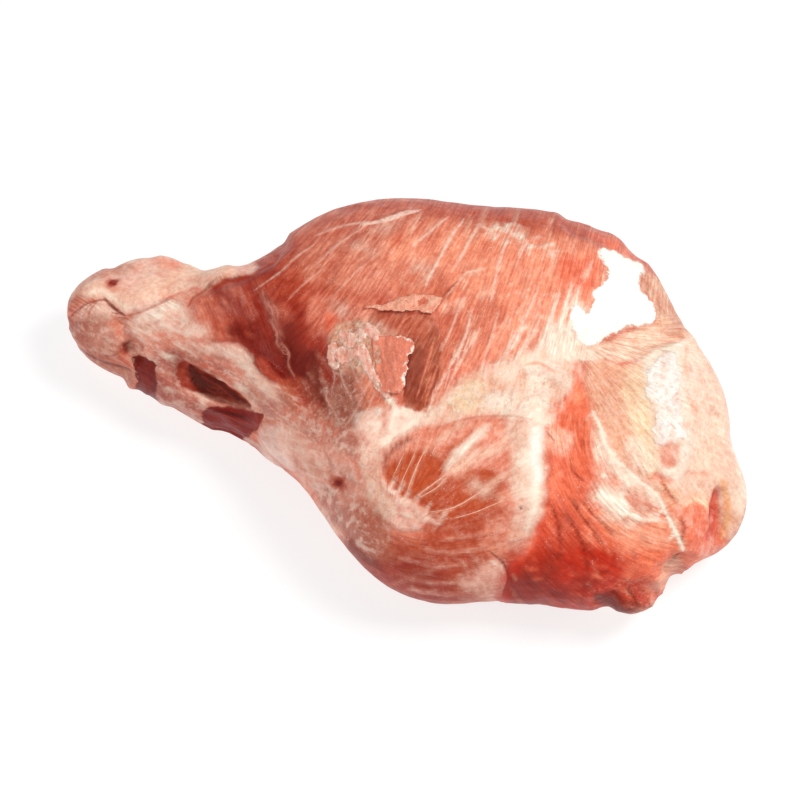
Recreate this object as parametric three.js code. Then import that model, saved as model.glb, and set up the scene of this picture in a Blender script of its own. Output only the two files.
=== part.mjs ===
// A bone-in pork leg, skinned and trimmed, lying on its inner side.
// Millimetres, +Z up. +X runs along the leg from the hock to the cut rump, and +Y to the back of the thigh.
// The origin is on the table, under the middle of the leg.
import * as THREE from "three";

// How finely the skin is drawn: rings of rays that fan round the hock, follow the bone and fan round
// the rump, and the rays in one ring.
const HOCK_FAN = 13;
const BONE_RINGS = 66;
const RUMP_FAN = 22;
const RAYS_AROUND = 58;
// Share of the rays that is drawn towards the upper, modelled side of the leg.
const UPPER_CROWDING = 0.22;

// The bone that every ray starts from: hock, knee, hip.
const HOCK = new THREE.Vector3(-203, -25, 47);
const KNEE = new THREE.Vector3(-67, -33, 62);
const HIP = new THREE.Vector3(140, 4, 68);

// The table pushes the soft meat flat, with this much rounding at the edge of the flat.
const TABLE_ROUNDING = 6;
// Skin that lies this close to the table is flat on it.
const FLAT_ENOUGH = 0.02;
// Rays are walked in from this far outside the leg, and this is close enough to the skin.
const START_DISTANCE = 330;
const CLOSE_ENOUGH = 0.002;
const MOST_STEPS = 160;
// A step is a little shorter than the field says, because blended lobes overstate distances.
const STEP_SHARE = 0.85;

// Each muscle or bone end is one egg: its middle, its half length, half width and half height,
// its turn about Z in degrees, and how softly it runs into the ones before it.
const lobe = (at, half, turn, blend) => ({ at, half, turn: THREE.MathUtils.degToRad(turn), blend });

const LOBES = {
  core: lobe([54, -4, 67], [150, 108, 76], 2, 1),
  shank: lobe([-148, -13, 51], [100, 40, 41], 2, 30),
  hockEnd: lobe([-229, -13, 40], [24, 31, 37], 10, 14),
  heelBone: lobe([-197, 14, 54], [38, 25, 28], 0, 14),
  hockJoint: lobe([-216, -25, 37], [30, 22, 36], -24, 12),
  shin: lobe([-112, -46, 43], [92, 26, 34], -12, 28),
  calf: lobe([-81, 7, 71], [81, 54, 56], 5, 26),
  thigh: lobe([12, 46, 76], [136, 89, 78], 1, 26),
  kneecap: lobe([7, -75, 60], [44, 38, 48], -28, 38),
  knuckle: lobe([57, -80, 58], [76, 69, 66], 0, 22),
  flank: lobe([144, -55, 58], [94, 65, 66], 5, 28),
  rump: lobe([176, 7, 68], [56, 80, 74], 8, 26),
  outsideRound: lobe([84, 71, 75], [86, 81, 76], -14, 34),
  rumpCorner: lobe([226, -12, 51], [28, 32, 50], 0, 18),
};

// Relief follows a route. Its width is from the middle of the route to where it dies away, and its depth
// is how far it is cut in, or stands out where it is negative. A route on the upper or under side is given
// in plan, and a pocket's route in space.
const UPPER = "upper";
const UNDER = "under";
const POCKET = "pocket";
const relief = (side, width, depth, route) => ({ side, width, depth, route });

const RELIEF = {
  calfSeam: relief(UPPER, 13, 4, [[-134, 14], [-99, -18], [-74, -39], [-54, -57]]),
  shankTendon: relief(UPPER, 13, -4, [[-190, -30], [-150, -34], [-109, -38], [-88, -49], [-63, -60]]),
  shankHollow: relief(POCKET, 19, 10, [[-154, -49, 70], [-128, -55, 68], [-104, -60, 67]]),
  shinHollow: relief(POCKET, 14, 6, [[-126, -66, 46], [-108, -68, 48], [-92, -72, 54]]),
  hockPit: relief(POCKET, 12, 7, [[-194, -44, 71], [-189, -46, 66]]),
  hockCrease: relief(UPPER, 8, 3, [[-243, -33], [-224, -20], [-208, -26], [-186, -32]]),
  tornFascia: relief(UPPER, 13, -3, [[-40, -2], [-8, 4], [18, 13], [30, 34]]),
  fasciaTongue: relief(UPPER, 15, -4, [[-24, -20], [0, -22], [10, -46]]),
  tongueHollow: relief(UPPER, 12, 3, [[24, -12], [26, -34], [22, -50]]),
  kneecapPit: relief(POCKET, 11, 5, [[-9, -109, 98], [-5, -110, 97]]),
  knuckleTop: relief(UPPER, 14, 5, [[14, -88], [22, -70], [45, -54], [81, -36], [104, -24]]),
  knuckleRim: relief(UPPER, 15, -3, [[92, -32], [107, -58], [112, -84], [108, -104]]),
  knuckleEdge: relief(UPPER, 18, 6, [[116, -14], [133, -50], [140, -83], [137, -100]]),
  rumpSeam: relief(UPPER, 12, 5, [[112, 22], [150, 50], [186, 70]]),
  rumpRidge: relief(UPPER, 16, -6, [[178, 52], [201, 18], [200, -22], [208, -46], [228, -64]]),
  rumpHollow: relief(UPPER, 14, 6, [[214, 22], [216, -8], [222, -30]]),
  rumpSlit: relief(POCKET, 12, 9, [[236, -24, 88], [241, -31, 76], [245, -34, 62]]),
  scrapSlit: relief(POCKET, 13, 8, [[192, -108, 72], [208, -97, 60], [220, -82, 44]]),
  insideSeam: relief(UNDER, 16, 6, [[-110, 20], [-30, 40], [60, 36], [150, 20], [220, 30]]),
  insideShank: relief(UNDER, 14, 5, [[-200, -10], [-140, -16], [-80, -30], [-30, -70]]),
  insideKnee: relief(UNDER, 14, 5, [[-40, -50], [20, -40], [90, -30], [130, -80]]),
};

// Straight pieces from one point of a route to the next.
const PIECES_PER_LEG = 4;
// Relief on one side fades out between these heights, so that it never reaches the other.
const UPPER_FADE = [26, 44];
const UNDER_FADE = [30, 52];

// The ragged end of trimmed meat that hangs below the flank, as a small lobe with a hard edge.
const SCRAPS = {
  flankScrap: lobe([185, -95, 50], [27, 14, 20], 12, 5),
  scrapTip: lobe([197, -95, 43], [12, 10, 14], 24, 5),
};

// Distance from a point to the surface of an egg, negative inside.
function eggDistance(p, egg) {
  const dx = p.x - egg.at[0];
  const dy = p.y - egg.at[1];
  const dz = p.z - egg.at[2];
  const along = dx * Math.cos(egg.turn) + dy * Math.sin(egg.turn);
  const across = dy * Math.cos(egg.turn) - dx * Math.sin(egg.turn);
  const [l, w, h] = egg.half;
  const scaled = Math.hypot(along / l, across / w, dz / h);
  const slope = Math.hypot(along / (l * l), across / (w * w), dz / (h * h));
  return (scaled * (scaled - 1)) / Math.max(slope, 1e-9);
}

// Further than any distance in the leg.
const FAR_AWAY = 1000;

// The lower of two distances, rounded where they are within blend of each other.
function blendMin(a, b, blend) {
  const overlap = Math.max(blend - Math.abs(a - b), 0) / blend;
  return Math.min(a, b) - (overlap * overlap * blend) / 4;
}

const blendMax = (a, b, blend) => -blendMin(-a, -b, blend);

// A route as short straight pieces of a smooth curve through its points.
function routePieces(route) {
  const curve = new THREE.CatmullRomCurve3(route.map(([x, y, z = 0]) => new THREE.Vector3(x, y, z)));
  const stops = curve.getPoints((route.length - 1) * PIECES_PER_LEG);
  return stops.slice(1).map((stop, i) => new THREE.Line3(stops[i], stop));
}

function distanceToPieces(p, pieces) {
  const nearest = new THREE.Vector3();
  return Math.min(...pieces.map((piece) => piece.closestPointToPoint(p, true, nearest).distanceTo(p)));
}

const RELIEF_PIECES = Object.values(RELIEF).map((line) => ({ ...line, pieces: routePieces(line.route) }));

// How far the skin is cut in at a point.
function reliefAt(p) {
  const share = {
    [UPPER]: THREE.MathUtils.smoothstep(p.z, ...UPPER_FADE),
    [UNDER]: 1 - THREE.MathUtils.smoothstep(p.z, ...UNDER_FADE),
    [POCKET]: 1,
  };
  const inPlan = new THREE.Vector3(p.x, p.y, 0);
  let cut = 0;
  for (const { side, width, depth, pieces } of RELIEF_PIECES) {
    if (share[side] === 0) continue;
    const away = distanceToPieces(side === POCKET ? p : inPlan, pieces) / width;
    if (away < 1) cut += share[side] * depth * (1 - away * away) ** 2;
  }
  return cut;
}

// Signed distance to the skin: every muscle blended together, cut by its relief, and flat on the table.
function skinDistance(p) {
  let d = FAR_AWAY;
  for (const egg of Object.values(LOBES)) d = blendMin(d, eggDistance(p, egg), egg.blend);
  d += reliefAt(p);
  for (const egg of Object.values(SCRAPS)) d = blendMin(d, eggDistance(p, egg), egg.blend);
  return blendMax(d, -p.z, TABLE_ROUNDING);
}

// Walks in along a ray until it meets the skin.
function meetSkin(start, direction) {
  let reach = START_DISTANCE;
  const p = new THREE.Vector3();
  for (let step = 0; step < MOST_STEPS; step++) {
    p.copy(start).addScaledVector(direction, reach);
    const d = skinDistance(p);
    if (Math.abs(d) < CLOSE_ENOUGH) break;
    reach -= d * STEP_SHARE;
  }
  if (p.z < FLAT_ENOUGH) p.z = 0;
  return p;
}

// The ring of rays at one step of the way from hock to rump: where it starts, and how far it leans to +X.
function ringAt(step, bone) {
  if (step < HOCK_FAN) return { start: HOCK, lean: -Math.cos((Math.PI / 2) * (step / HOCK_FAN)) };
  const along = (step - HOCK_FAN) / BONE_RINGS;
  if (along <= 1) return { start: bone.getPoint(along), lean: 0 };
  return { start: HIP, lean: Math.sin((Math.PI / 2) * ((step - HOCK_FAN - BONE_RINGS) / RUMP_FAN)) };
}

// Four corners in order as two triangles, split along the shorter diagonal so that creases stay clean.
function twoTriangles(points, a, b, c, d) {
  const alongAC = points[a].distanceTo(points[c]) <= points[b].distanceTo(points[d]);
  return alongAC ? [a, b, c, a, c, d] : [a, b, d, b, c, d];
}

// The whole skin as one closed mesh: a pole at the hock, rings along the bone, and a pole at the rump.
function legGeometry() {
  const bone = new THREE.CatmullRomCurve3([HOCK, KNEE, HIP]);
  const rings = HOCK_FAN + BONE_RINGS + RUMP_FAN;
  const points = [meetSkin(HOCK, new THREE.Vector3(-1, 0, 0))];
  for (let step = 1; step < rings; step++) {
    const { start, lean } = ringAt(step, bone);
    const spread = Math.sqrt(1 - lean * lean);
    for (let ray = 0; ray < RAYS_AROUND; ray++) {
      const even = (2 * Math.PI * ray) / RAYS_AROUND;
      const turn = even + 2 * UPPER_CROWDING * Math.cos(even);
      points.push(meetSkin(start, new THREE.Vector3(lean, spread * Math.cos(turn), spread * Math.sin(turn))));
    }
  }
  points.push(meetSkin(HIP, new THREE.Vector3(1, 0, 0)));

  const faces = [];
  const at = (ring, ray) => 1 + ring * RAYS_AROUND + (ray % RAYS_AROUND);
  const lastRing = rings - 2;
  const rumpPole = points.length - 1;
  for (let ray = 0; ray < RAYS_AROUND; ray++) {
    faces.push(0, at(0, ray + 1), at(0, ray));
    for (let ring = 0; ring < lastRing; ring++) {
      const corners = [at(ring, ray), at(ring, ray + 1), at(ring + 1, ray + 1), at(ring + 1, ray)];
      faces.push(...twoTriangles(points, ...corners));
    }
    faces.push(rumpPole, at(lastRing, ray), at(lastRing, ray + 1));
  }
  const geometry = new THREE.BufferGeometry().setFromPoints(points).setIndex(faces);
  geometry.computeVertexNormals();
  return geometry;
}

// Moves a geometry so that the middle of its base is at the origin.
function standOnOrigin(geometry) {
  geometry.computeBoundingBox();
  const { min, max } = geometry.boundingBox;
  return geometry.translate(-(min.x + max.x) / 2, -(min.y + max.y) / 2, -min.z);
}

const rawPork = new THREE.MeshStandardMaterial({ color: 0xc96f5c, roughness: 0.42, metalness: 0 });

const leg = new THREE.Mesh(standOnOrigin(legGeometry()), rawPork);
leg.name = "pork_leg";

const part = new THREE.Group();
part.add(leg);

export default part;
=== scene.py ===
# %% [markdown]
# # A raw pork leg, bone in
# The CAD part gives the true size and the main form of the leg. This lesson puts
# the real surface over it: lean meat with its fibres, pale films, fat and torn flaps.
# Every length in Blender is in metres. A value whose name ends in MM is in millimetres.

# %% Load the frame
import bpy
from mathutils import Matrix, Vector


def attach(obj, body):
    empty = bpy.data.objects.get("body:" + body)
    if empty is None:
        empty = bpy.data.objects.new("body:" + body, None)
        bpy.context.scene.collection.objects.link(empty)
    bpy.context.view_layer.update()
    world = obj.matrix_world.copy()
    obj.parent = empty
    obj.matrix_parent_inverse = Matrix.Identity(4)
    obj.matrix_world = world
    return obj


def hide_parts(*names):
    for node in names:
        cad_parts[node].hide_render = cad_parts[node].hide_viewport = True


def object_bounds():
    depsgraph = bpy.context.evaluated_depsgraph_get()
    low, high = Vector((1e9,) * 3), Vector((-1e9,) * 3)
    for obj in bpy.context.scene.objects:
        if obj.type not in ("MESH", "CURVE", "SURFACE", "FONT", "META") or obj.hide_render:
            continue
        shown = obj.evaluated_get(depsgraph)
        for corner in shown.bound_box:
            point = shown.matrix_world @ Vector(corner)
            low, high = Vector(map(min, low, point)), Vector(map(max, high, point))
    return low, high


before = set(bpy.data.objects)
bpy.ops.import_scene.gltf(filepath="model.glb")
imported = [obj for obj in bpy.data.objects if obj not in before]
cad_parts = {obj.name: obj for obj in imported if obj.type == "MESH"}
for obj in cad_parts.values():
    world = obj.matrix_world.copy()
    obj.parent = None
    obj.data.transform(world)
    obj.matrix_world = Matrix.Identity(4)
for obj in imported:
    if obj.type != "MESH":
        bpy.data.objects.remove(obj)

cad_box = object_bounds()
print("CAD box", cad_box)

# %% What the lesson uses
import functools
import itertools
import math

import bmesh
import bpy
import numpy as np
from mathutils import Vector
from mathutils.bvhtree import BVHTree

NODE = "pork_leg"
METRE = 1000.0
scene = bpy.context.scene


def placed(name, data):
    """A new object of the scene."""
    thing = bpy.data.objects.new(name, data)
    scene.collection.objects.link(thing)
    return thing


# %% [markdown]
# ## The sight line
# The leg was photographed from high up, a little to one side. The same few numbers place
# the camera and say where a point of the skin appears in the photograph. That second use
# is the *chart*: a feature is described where the eye sees it, and then lands on the form.

# %% Sight line and chart
TURN = math.radians(20.6)
HEIGHT = math.radians(60.0)
SIGHT_MM = 2600.0
AIM_MM = np.array([2.5, -22.9, 75.3])
CHART_SIDE = 800.0
MM_PER_CHART_UNIT = 0.70
CENTRE = CHART_SIDE / 2
ZOOM = SIGHT_MM / MM_PER_CHART_UNIT

TOWARDS = np.array([
    math.sin(TURN) * math.cos(HEIGHT),
    -math.cos(TURN) * math.cos(HEIGHT),
    math.sin(HEIGHT),
])
RIGHT = np.array([math.cos(TURN), math.sin(TURN), 0.0])
UP = np.cross(TOWARDS, RIGHT)


def on_chart(points_mm):
    """Where points of the object appear in the photograph."""
    offset = points_mm - AIM_MM
    scale = ZOOM / (SIGHT_MM - offset @ TOWARDS)
    return np.stack([CENTRE + scale * (offset @ RIGHT), CENTRE - scale * (offset @ UP)], axis=1)


def sight_ray(spot):
    """The camera's place and the direction of one chart point, in metres."""
    start = (AIM_MM + TOWARDS * SIGHT_MM) / METRE
    step = RIGHT * (spot[0] - CENTRE) + UP * (CENTRE - spot[1]) - TOWARDS * ZOOM
    return Vector(start), Vector(step / np.linalg.norm(step))


# %% Camera
SENSOR_MM = 36.0
FARTHEST = 20.0

camera_data = bpy.data.cameras.new("camera")
camera_data.sensor_width = SENSOR_MM
camera_data.lens = ZOOM * SENSOR_MM / CHART_SIDE
camera_data.clip_end = FARTHEST
camera = placed("camera", camera_data)
camera.location = (AIM_MM + TOWARDS * SIGHT_MM) / METRE
camera.rotation_euler = (-Vector(TOWARDS)).to_track_quat("-Z", "Y").to_euler()
scene.camera = camera
print("lens", round(camera_data.lens, 1), "mm")


# %% [markdown]
# ## The skin
# Meat has no straight edges, so the skin needs many small, even faces. The CAD mesh is
# welded, rounded once by subdivision, and then rebuilt on a grid of small cubes. The
# Remesh modifier could be replaced by sculpting, but this way gives the same result
# each time and keeps the form of the CAD part.

# %% Skin mesh
WELD = 1e-6
SHEET_WELD = WELD * 50
SKIN_GRID = 0.0021
SMOOTH_ROUNDS = 3


def evaluated_mesh(thing, name):
    """The mesh that an object's modifiers make."""
    result = thing.evaluated_get(bpy.context.evaluated_depsgraph_get())
    mesh = bpy.data.meshes.new_from_object(result)
    mesh.name = name
    return mesh


def welded(node):
    """A copy of a CAD mesh with its loose triangles joined."""
    form = bmesh.new()
    form.from_mesh(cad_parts[node].data)
    bmesh.ops.remove_doubles(form, verts=form.verts, dist=WELD)
    mesh = bpy.data.meshes.new(node + "_welded")
    form.to_mesh(mesh)
    form.free()
    return mesh


skin = placed("pork_leg_flesh", welded(NODE))
rounding = skin.modifiers.new("rounding", "SUBSURF")
rounding.levels = rounding.render_levels = 1
even = skin.modifiers.new("even", "REMESH")
even.mode = "VOXEL"
even.voxel_size = SKIN_GRID
soften = skin.modifiers.new("soften", "SMOOTH")
soften.iterations = SMOOTH_ROUNDS
skin_mesh = evaluated_mesh(skin, "pork_leg_flesh")
skin.modifiers.clear()
skin.data = skin_mesh
print("skin points", len(skin_mesh.vertices))


# %% Skin as arrays
def numbers(items, key, width=3):
    """One value of every item of a mesh, as rows."""
    flat = np.empty(len(items) * width)
    items.foreach_get(key, flat)
    return flat.reshape(-1, width) if width > 1 else flat


def ramp(value, low, high):
    """0 below low, 1 above high, and smooth between."""
    share = np.clip((value - low) / (high - low), 0.0, 1.0)
    return share * share * (3 - 2 * share)


skin_mm = numbers(skin_mesh.vertices, "co") * METRE
outward = numbers(skin_mesh.vertex_normals, "vector")
print("skin size in mm", (skin_mm.max(axis=0) - skin_mm.min(axis=0)).round(1))


# %% [markdown]
# ## Cloudiness
# Nothing on meat has a ruled edge. A small lattice of fixed random values, blended
# smoothly, gives every stain an uneven border. Blender's own noise would do in a
# material, but here it has to move an outline before the outline is drawn.

# %% Lattice noise
SEED_PRIME = 374761393
AXIS_PRIMES = (73856093, 19349663, 83492791)
MIXING_PRIME = 1274126177
LARGEST = 65535


def lattice_value(cell, seed):
    """A fixed value from 0 to 1 for a whole-number place."""
    key = seed * SEED_PRIME
    for axis, prime in enumerate(AXIS_PRIMES[: cell.shape[1]]):
        key = key + cell[:, axis] * prime
    key = (key ^ (key >> 13)) * MIXING_PRIME
    return ((key ^ (key >> 16)) & LARGEST) / float(LARGEST)


def cloud(at, size, seed):
    """Smooth noise from -1 to 1, with lumps of the given size."""
    place = at / size
    cell = np.floor(place).astype(np.int64)
    share = place - cell
    share = share * share * (3 - 2 * share)
    total = np.zeros(len(at))
    for corner in itertools.product((0, 1), repeat=at.shape[1]):
        weight = np.prod(np.where(corner, share, 1 - share), axis=1)
        total += weight * lattice_value(cell + np.array(corner), seed)
    return total * 2 - 1


# %% Charts
SEEN_FACING = (-0.30, -0.02)
OUTLINE_FACING = (-0.85, -0.50)
CHART_SEED = 50
BROAD_WANDER = (17.0, 2.2)
SMALL_WANDER = (7.0, 1.1)


def wandering(flat, seed):
    """Chart places that wander a little, so that no mark is ruled."""
    places = flat
    for size, way in (BROAD_WANDER, SMALL_WANDER):
        shift = [cloud(flat, size, seed + part) * way for part in (0, 1)]
        places = places + np.stack(shift, axis=1)
        seed += 2
    return places


class Chart:
    """One flat view of the skin, and how much each point belongs to it."""

    def __init__(self, flat, share, seed):
        self.flat = flat
        self.loose = wandering(flat, seed)
        self.share = share

    def near(self, route, margin):
        """Which points of the skin lie around a route."""
        low, high = route.min(axis=0) - margin, route.max(axis=0) + margin
        around = np.all((self.flat > low) & (self.flat < high), axis=1)
        return np.flatnonzero(around & (self.share > 0))


def seen_chart(facing):
    """The chart of the side that faces the camera, faded out between two angles."""
    return Chart(on_chart(skin_mm), ramp(outward @ TOWARDS, *facing), CHART_SEED)


seen_side = seen_chart(SEEN_FACING)
active = seen_side
print("points in sight", int((seen_side.share > 0).sum()))


# %% [markdown]
# ## Routes and outlines
# A sinew is a route and a patch is an outline, both written as a few chart points,
# "384,472 392,461", that a smooth curve joins. Two measurements are needed: how far a
# point is from a route, and on which side, and how deep it is inside an outline.

# %% Curves on the chart
STEPS_PER_PIECE = 5
TINY = 1e-9


def spots(route):
    """Chart points as rows, from text or from pairs."""
    if isinstance(route, str):
        route = [pair.split(",") for pair in route.split()]
    return np.array(route, dtype=float)


def smooth_route(route, closed=False):
    """A Catmull-Rom curve through chart points."""
    given = spots(route)
    if closed:
        padded = np.vstack([given[-1], given, given[:2]])
    else:
        padded = np.vstack([2 * given[0] - given[1], given, 2 * given[-1] - given[-2]])
    run = []
    for before, start, end, after in zip(padded, padded[1:], padded[2:], padded[3:]):
        for step in range(STEPS_PER_PIECE):
            share = step / STEPS_PER_PIECE
            straight = (end - before) * share
            bend = (2 * before - 5 * start + 4 * end - after) * share**2
            twist = (3 * start - before - 3 * end + after) * share**3
            run.append(start + (straight + bend + twist) / 2)
    run.append(padded[-2])
    return np.array(run)


def gaps(at, route):
    """Distance, side and share along the route for each point."""
    start, step = route[:-1], np.diff(route, axis=0)
    size = np.maximum((step**2).sum(axis=1), TINY)
    away = at[:, None, :] - start[None]
    share = np.clip((away * step).sum(axis=2) / size, 0, 1)
    gap = away - share[..., None] * step
    reach = np.sqrt((gap**2).sum(axis=2))
    best = reach.argmin(axis=1)
    row = np.arange(len(at))
    side = np.sign(step[best, 0] * away[row, best, 1] - step[best, 1] * away[row, best, 0])
    return reach[row, best], side, (best + share[row, best]) / len(start)


def depth_inside(at, outline):
    """Distance to an outline, positive inside it."""
    reach, _, _ = gaps(at, outline)
    start, end = outline[:-1], outline[1:]
    rise = end[:, 1] - start[:, 1]
    rise = np.where(np.abs(rise) < TINY, TINY, rise)
    level = at[:, 1][:, None]
    crossed = (start[:, 1] > level) != (end[:, 1] > level)
    meets = start[:, 0] + (level - start[:, 1]) / rise * (end[:, 0] - start[:, 0])
    inside = (crossed & (at[:, 0][:, None] < meets)).sum(axis=1) % 2 == 1
    return np.where(inside, reach, -reach)


print("a curve", smooth_route("0,0 4,2 8,0").shape)


# %% [markdown]
# ## Five ways to mark the skin
# A painter would lay broad soft colours first and sharp details last. The same few
# marks serve the whole leg: a `wash` is a soft stain, a `stroke` a soft band, a
# `scatter` a handful of small strokes, a `patch` has a crisp outline and a `streak` is a
# crisp line. Widths are in chart units. Each may also lift or sink the skin, in
# millimetres, so that colour and relief agree. Crisp marks are stored as distances,
# which blend cleanly between points, and the material draws the edge.

# %% What the marks change
FAR_AWAY = 20.0
HAIRLINE = 0.1
FIRST_SEED = {"wash": 0, "stroke": 100, "patch": 200}

count = len(skin_mm)
tint = np.zeros((count, 3))
lift_mm = np.zeros(count)
surface = {"grain": np.ones(count), "fatty": np.zeros(count), "torn": np.zeros(count)}
patch_edge = np.full(count, -FAR_AWAY)
patch_colour = np.zeros((count, 4))
streak_place = np.tile([FAR_AWAY, FAR_AWAY, HAIRLINE], (count, 1))
streak_colour = np.zeros((count, 4))
mark_count = dict.fromkeys(("wash", "stroke", "patch", "streak"), 0)


def next_seed(kind):
    """Count one more mark of a kind and give its own seed."""
    mark_count[kind] += 1
    return FIRST_SEED[kind] + mark_count[kind]


def screen(red, green, blue):
    """A screen colour as light."""
    share = np.array([red, green, blue]) / 255
    return np.where(share > 0.04045, ((share + 0.055) / 1.055) ** 2.4, share / 12.92)


def blend_in(picked, colour, amount, lift, kinds):
    """Lay a soft mark on some points of the skin; without a colour it only shapes them."""
    if colour is not None:
        for layer in (tint, patch_colour[:, :3]):
            layer[picked] += (colour - layer[picked]) * amount[:, None]
    lift_mm[picked] += lift * amount
    for kind, value in kinds.items():
        surface[kind][picked] += (value - surface[kind][picked]) * amount


# %% Soft marks
SOFTNESS = 0.75
WANDER = 0.45
WASH_MARGIN = 6
WASH_LUMP = 6
STROKE_LUMP = 2
END_FADE, MIDDLE_FADE = 0.55, 0.45


def wash(colour, outline, soft=8.0, strength=1.0, lift=0.0, **kinds):
    """A soft stain inside an outline."""
    soft = soft * SOFTNESS
    border = smooth_route(outline, closed=True)
    picked = active.near(border, soft * 2 + WASH_MARGIN)
    wander = cloud(active.flat[picked], soft + WASH_LUMP, next_seed("wash")) * soft * WANDER
    depth = depth_inside(active.loose[picked], border) + wander
    amount = strength * ramp(depth, -soft, soft) * active.share[picked]
    blend_in(picked, colour, amount, lift, kinds)


def stroke(colour, route, width, soft=4.0, strength=1.0, lift=0.0, **kinds):
    """A soft band along a route."""
    line = smooth_route(route)
    picked = active.near(line, width + soft * 2)
    reach, _, share = gaps(active.flat[picked], line)
    fade = END_FADE + MIDDLE_FADE * np.sqrt(np.clip(4 * share * (1 - share), 0, 1))
    wander = cloud(active.flat[picked], soft + STROKE_LUMP, next_seed("stroke")) * soft * WANDER
    inside = ramp(width / 2 * fade - reach + wander, -soft, soft)
    amount = strength * fade * inside * active.share[picked]
    blend_in(picked, colour, amount, lift, kinds)


def scatter(colour, outline, many, size, strength, lift=0.0, way=None, seed=1, **kinds):
    """Small uneven strokes inside an outline, turned at random or along one way."""
    border = smooth_route(outline, closed=True)
    chance = np.random.default_rng(seed)
    tried = chance.uniform(border.min(axis=0), border.max(axis=0), (many * 4, 2))
    for spot in tried[depth_inside(tried, border) > 0][:many]:
        turn = chance.uniform(0, math.pi) if way is None else way + chance.normal(0, 0.18)
        half = size * chance.uniform(0.5, 1.5) * np.array([math.cos(turn), math.sin(turn)])
        bend = chance.normal(0, size * 0.2, 2)
        shown = strength * chance.uniform(0.5, 1.0)
        route = [spot - half, spot + bend, spot + half]
        stroke(colour, route, size * 0.4, 2.2, shown, lift * chance.uniform(0.4, 1.2), **kinds)


# %% Crisp marks
PATCH_MARGIN = 18.0
PATCH_LUMP = 5.0
STREAK_MARGIN = 12.0
END_WIDTH, MIDDLE_WIDTH = 0.30, 0.70


def patch(colour, outline, strength=1.0, lift=0.0, lip=3.0, ragged=1.2, **kinds):
    """A stain with a crisp outline, raised or sunk inside its lip."""
    border = smooth_route(outline, closed=True)
    picked = active.near(border, PATCH_MARGIN)
    wander = cloud(active.flat[picked], PATCH_LUMP, next_seed("patch")) * ragged
    depth = depth_inside(active.loose[picked], border) + wander
    shown = np.concatenate([colour, [strength]])
    ahead = depth > patch_edge[picked]
    patch_edge[picked[ahead]] = depth[ahead]
    patch_colour[picked[ahead]] = shown
    amount = ramp(depth, -lip, lip) * active.share[picked]
    blend_in(picked, None, amount, lift, kinds)


def streak(colour, route, half_width=1.0, strength=0.8, lift=0.0, taper=True):
    """A crisp line that thins towards its ends."""
    line = smooth_route(route)
    picked = active.near(line, STREAK_MARGIN)
    mark_count["streak"] += 1
    reach, side, share = gaps(active.flat[picked], line)
    thin = 4 * share * (1 - share) if taper else np.ones(len(share))
    width = half_width * (END_WIDTH + MIDDLE_WIDTH * np.sqrt(np.clip(thin, 0, 1)))
    old = streak_place[picked]
    ahead = reach - width < old[:, 1] - old[:, 2]
    closer = picked[ahead]
    streak_place[closer] = np.stack([reach * side, reach, width], axis=1)[ahead]
    streak_colour[closer] = np.concatenate([colour, [strength]])
    lift_mm[picked] += lift * ramp(2 * half_width - reach, -2.0, 2.0) * active.share[picked]


# %% [markdown]
# ## Colours of raw pork
# Lean meat runs from deep wine red, where the cut is fresh, to pink under a thin film.
# Film, tendon and fat go from grey pink through cream to nearly white. A palette of
# named colours keeps the marks related to each other, as a painter's palette does.

# %% Palette
HEEL_PALE = screen(253, 200, 182)
HEEL_ROSE = screen(242, 154, 128)
HEEL_BROWN = screen(200, 122, 98)
CARTILAGE = screen(186, 106, 86)
CARTILAGE_PALE = screen(208, 142, 124)
TENDON = screen(250, 214, 197)
FILM_PINK = screen(228, 154, 134)
FILM_GREY = screen(190, 130, 120)
FILM_MAUVE = screen(176, 104, 94)
FILM_LILAC = screen(236, 196, 186)
# Near black: painted shadow in pits, hollows and crevices.
PAINTED_SHADOW_BLACK = screen(66, 6, 3)
LEAN_DARK = screen(118, 24, 12)
LEAN_DEEP = screen(160, 52, 34)
LEAN_WINE = screen(150, 36, 20)
LEAN_WARM = screen(192, 84, 58)
LEAN_ROSE = screen(222, 122, 98)
LEAN_PINK = screen(238, 148, 122)
FAN_ORANGE = screen(247, 152, 122)
FAN_RED = screen(244, 118, 88)
BROWN = screen(182, 98, 72)
BROWN_DEEP = screen(146, 66, 44)
MEAT_GREY = screen(180, 114, 96)
PEACH = screen(250, 190, 160)
PEACH_PALE = screen(252, 221, 200)
CREAM = screen(252, 208, 184)
CREAM_YELLOW = screen(253, 225, 188)
FAT_WHITE = screen(255, 240, 222)
# Pure white: fat with a painted highlight on it.
FAT_WITH_PAINTED_HIGHLIGHT = screen(255, 254, 250)
KNUCKLE_BROWN = screen(192, 86, 48)
# Brown film of the lower knuckle, with painted shade towards the bottom.
KNUCKLE_LOW_AND_SHADE = screen(184, 84, 56)
FLANK_ORANGE = screen(250, 128, 94)
FLANK_RED = screen(242, 112, 80)
# Deep red of the lower flank, with painted shade where the leg turns away from the lamp.
FLANK_RED_AND_SHADE = screen(204, 52, 26)
LIP_YELLOW = screen(255, 184, 132)
HOLLOW_RED = screen(134, 18, 8)
SCRAP_RED = screen(222, 74, 48)
print("palette ready")


# %% [markdown]
# ## The side away from the camera
# The photograph shows one side only. The other side of a real leg is much the same:
# lean muscles parted by white seams, with film and fat between. It gets a chart of its
# own, the skin unrolled round the long axis, and the same marks.

# %% Unrolled chart and ground colour
AXIS_Y_MM = -15.0
AXIS_Z_MM = 66.0
ROUND_MM = 80.0

turned = np.arctan2(skin_mm[:, 1] - AXIS_Y_MM, AXIS_Z_MM - skin_mm[:, 2])
unrolled = np.stack([skin_mm[:, 0], turned * ROUND_MM], axis=1)
active = Chart(unrolled, 1 - seen_side.share, 60)
redder = ramp(cloud(skin_mm, 46.0, 5), -0.3, 0.7)[:, None]
tint[:] = LEAN_ROSE + (LEAN_WARM - LEAN_ROSE) * redder * active.share[:, None]
print("unrolled", unrolled.min(axis=0).round(), unrolled.max(axis=0).round())

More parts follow.
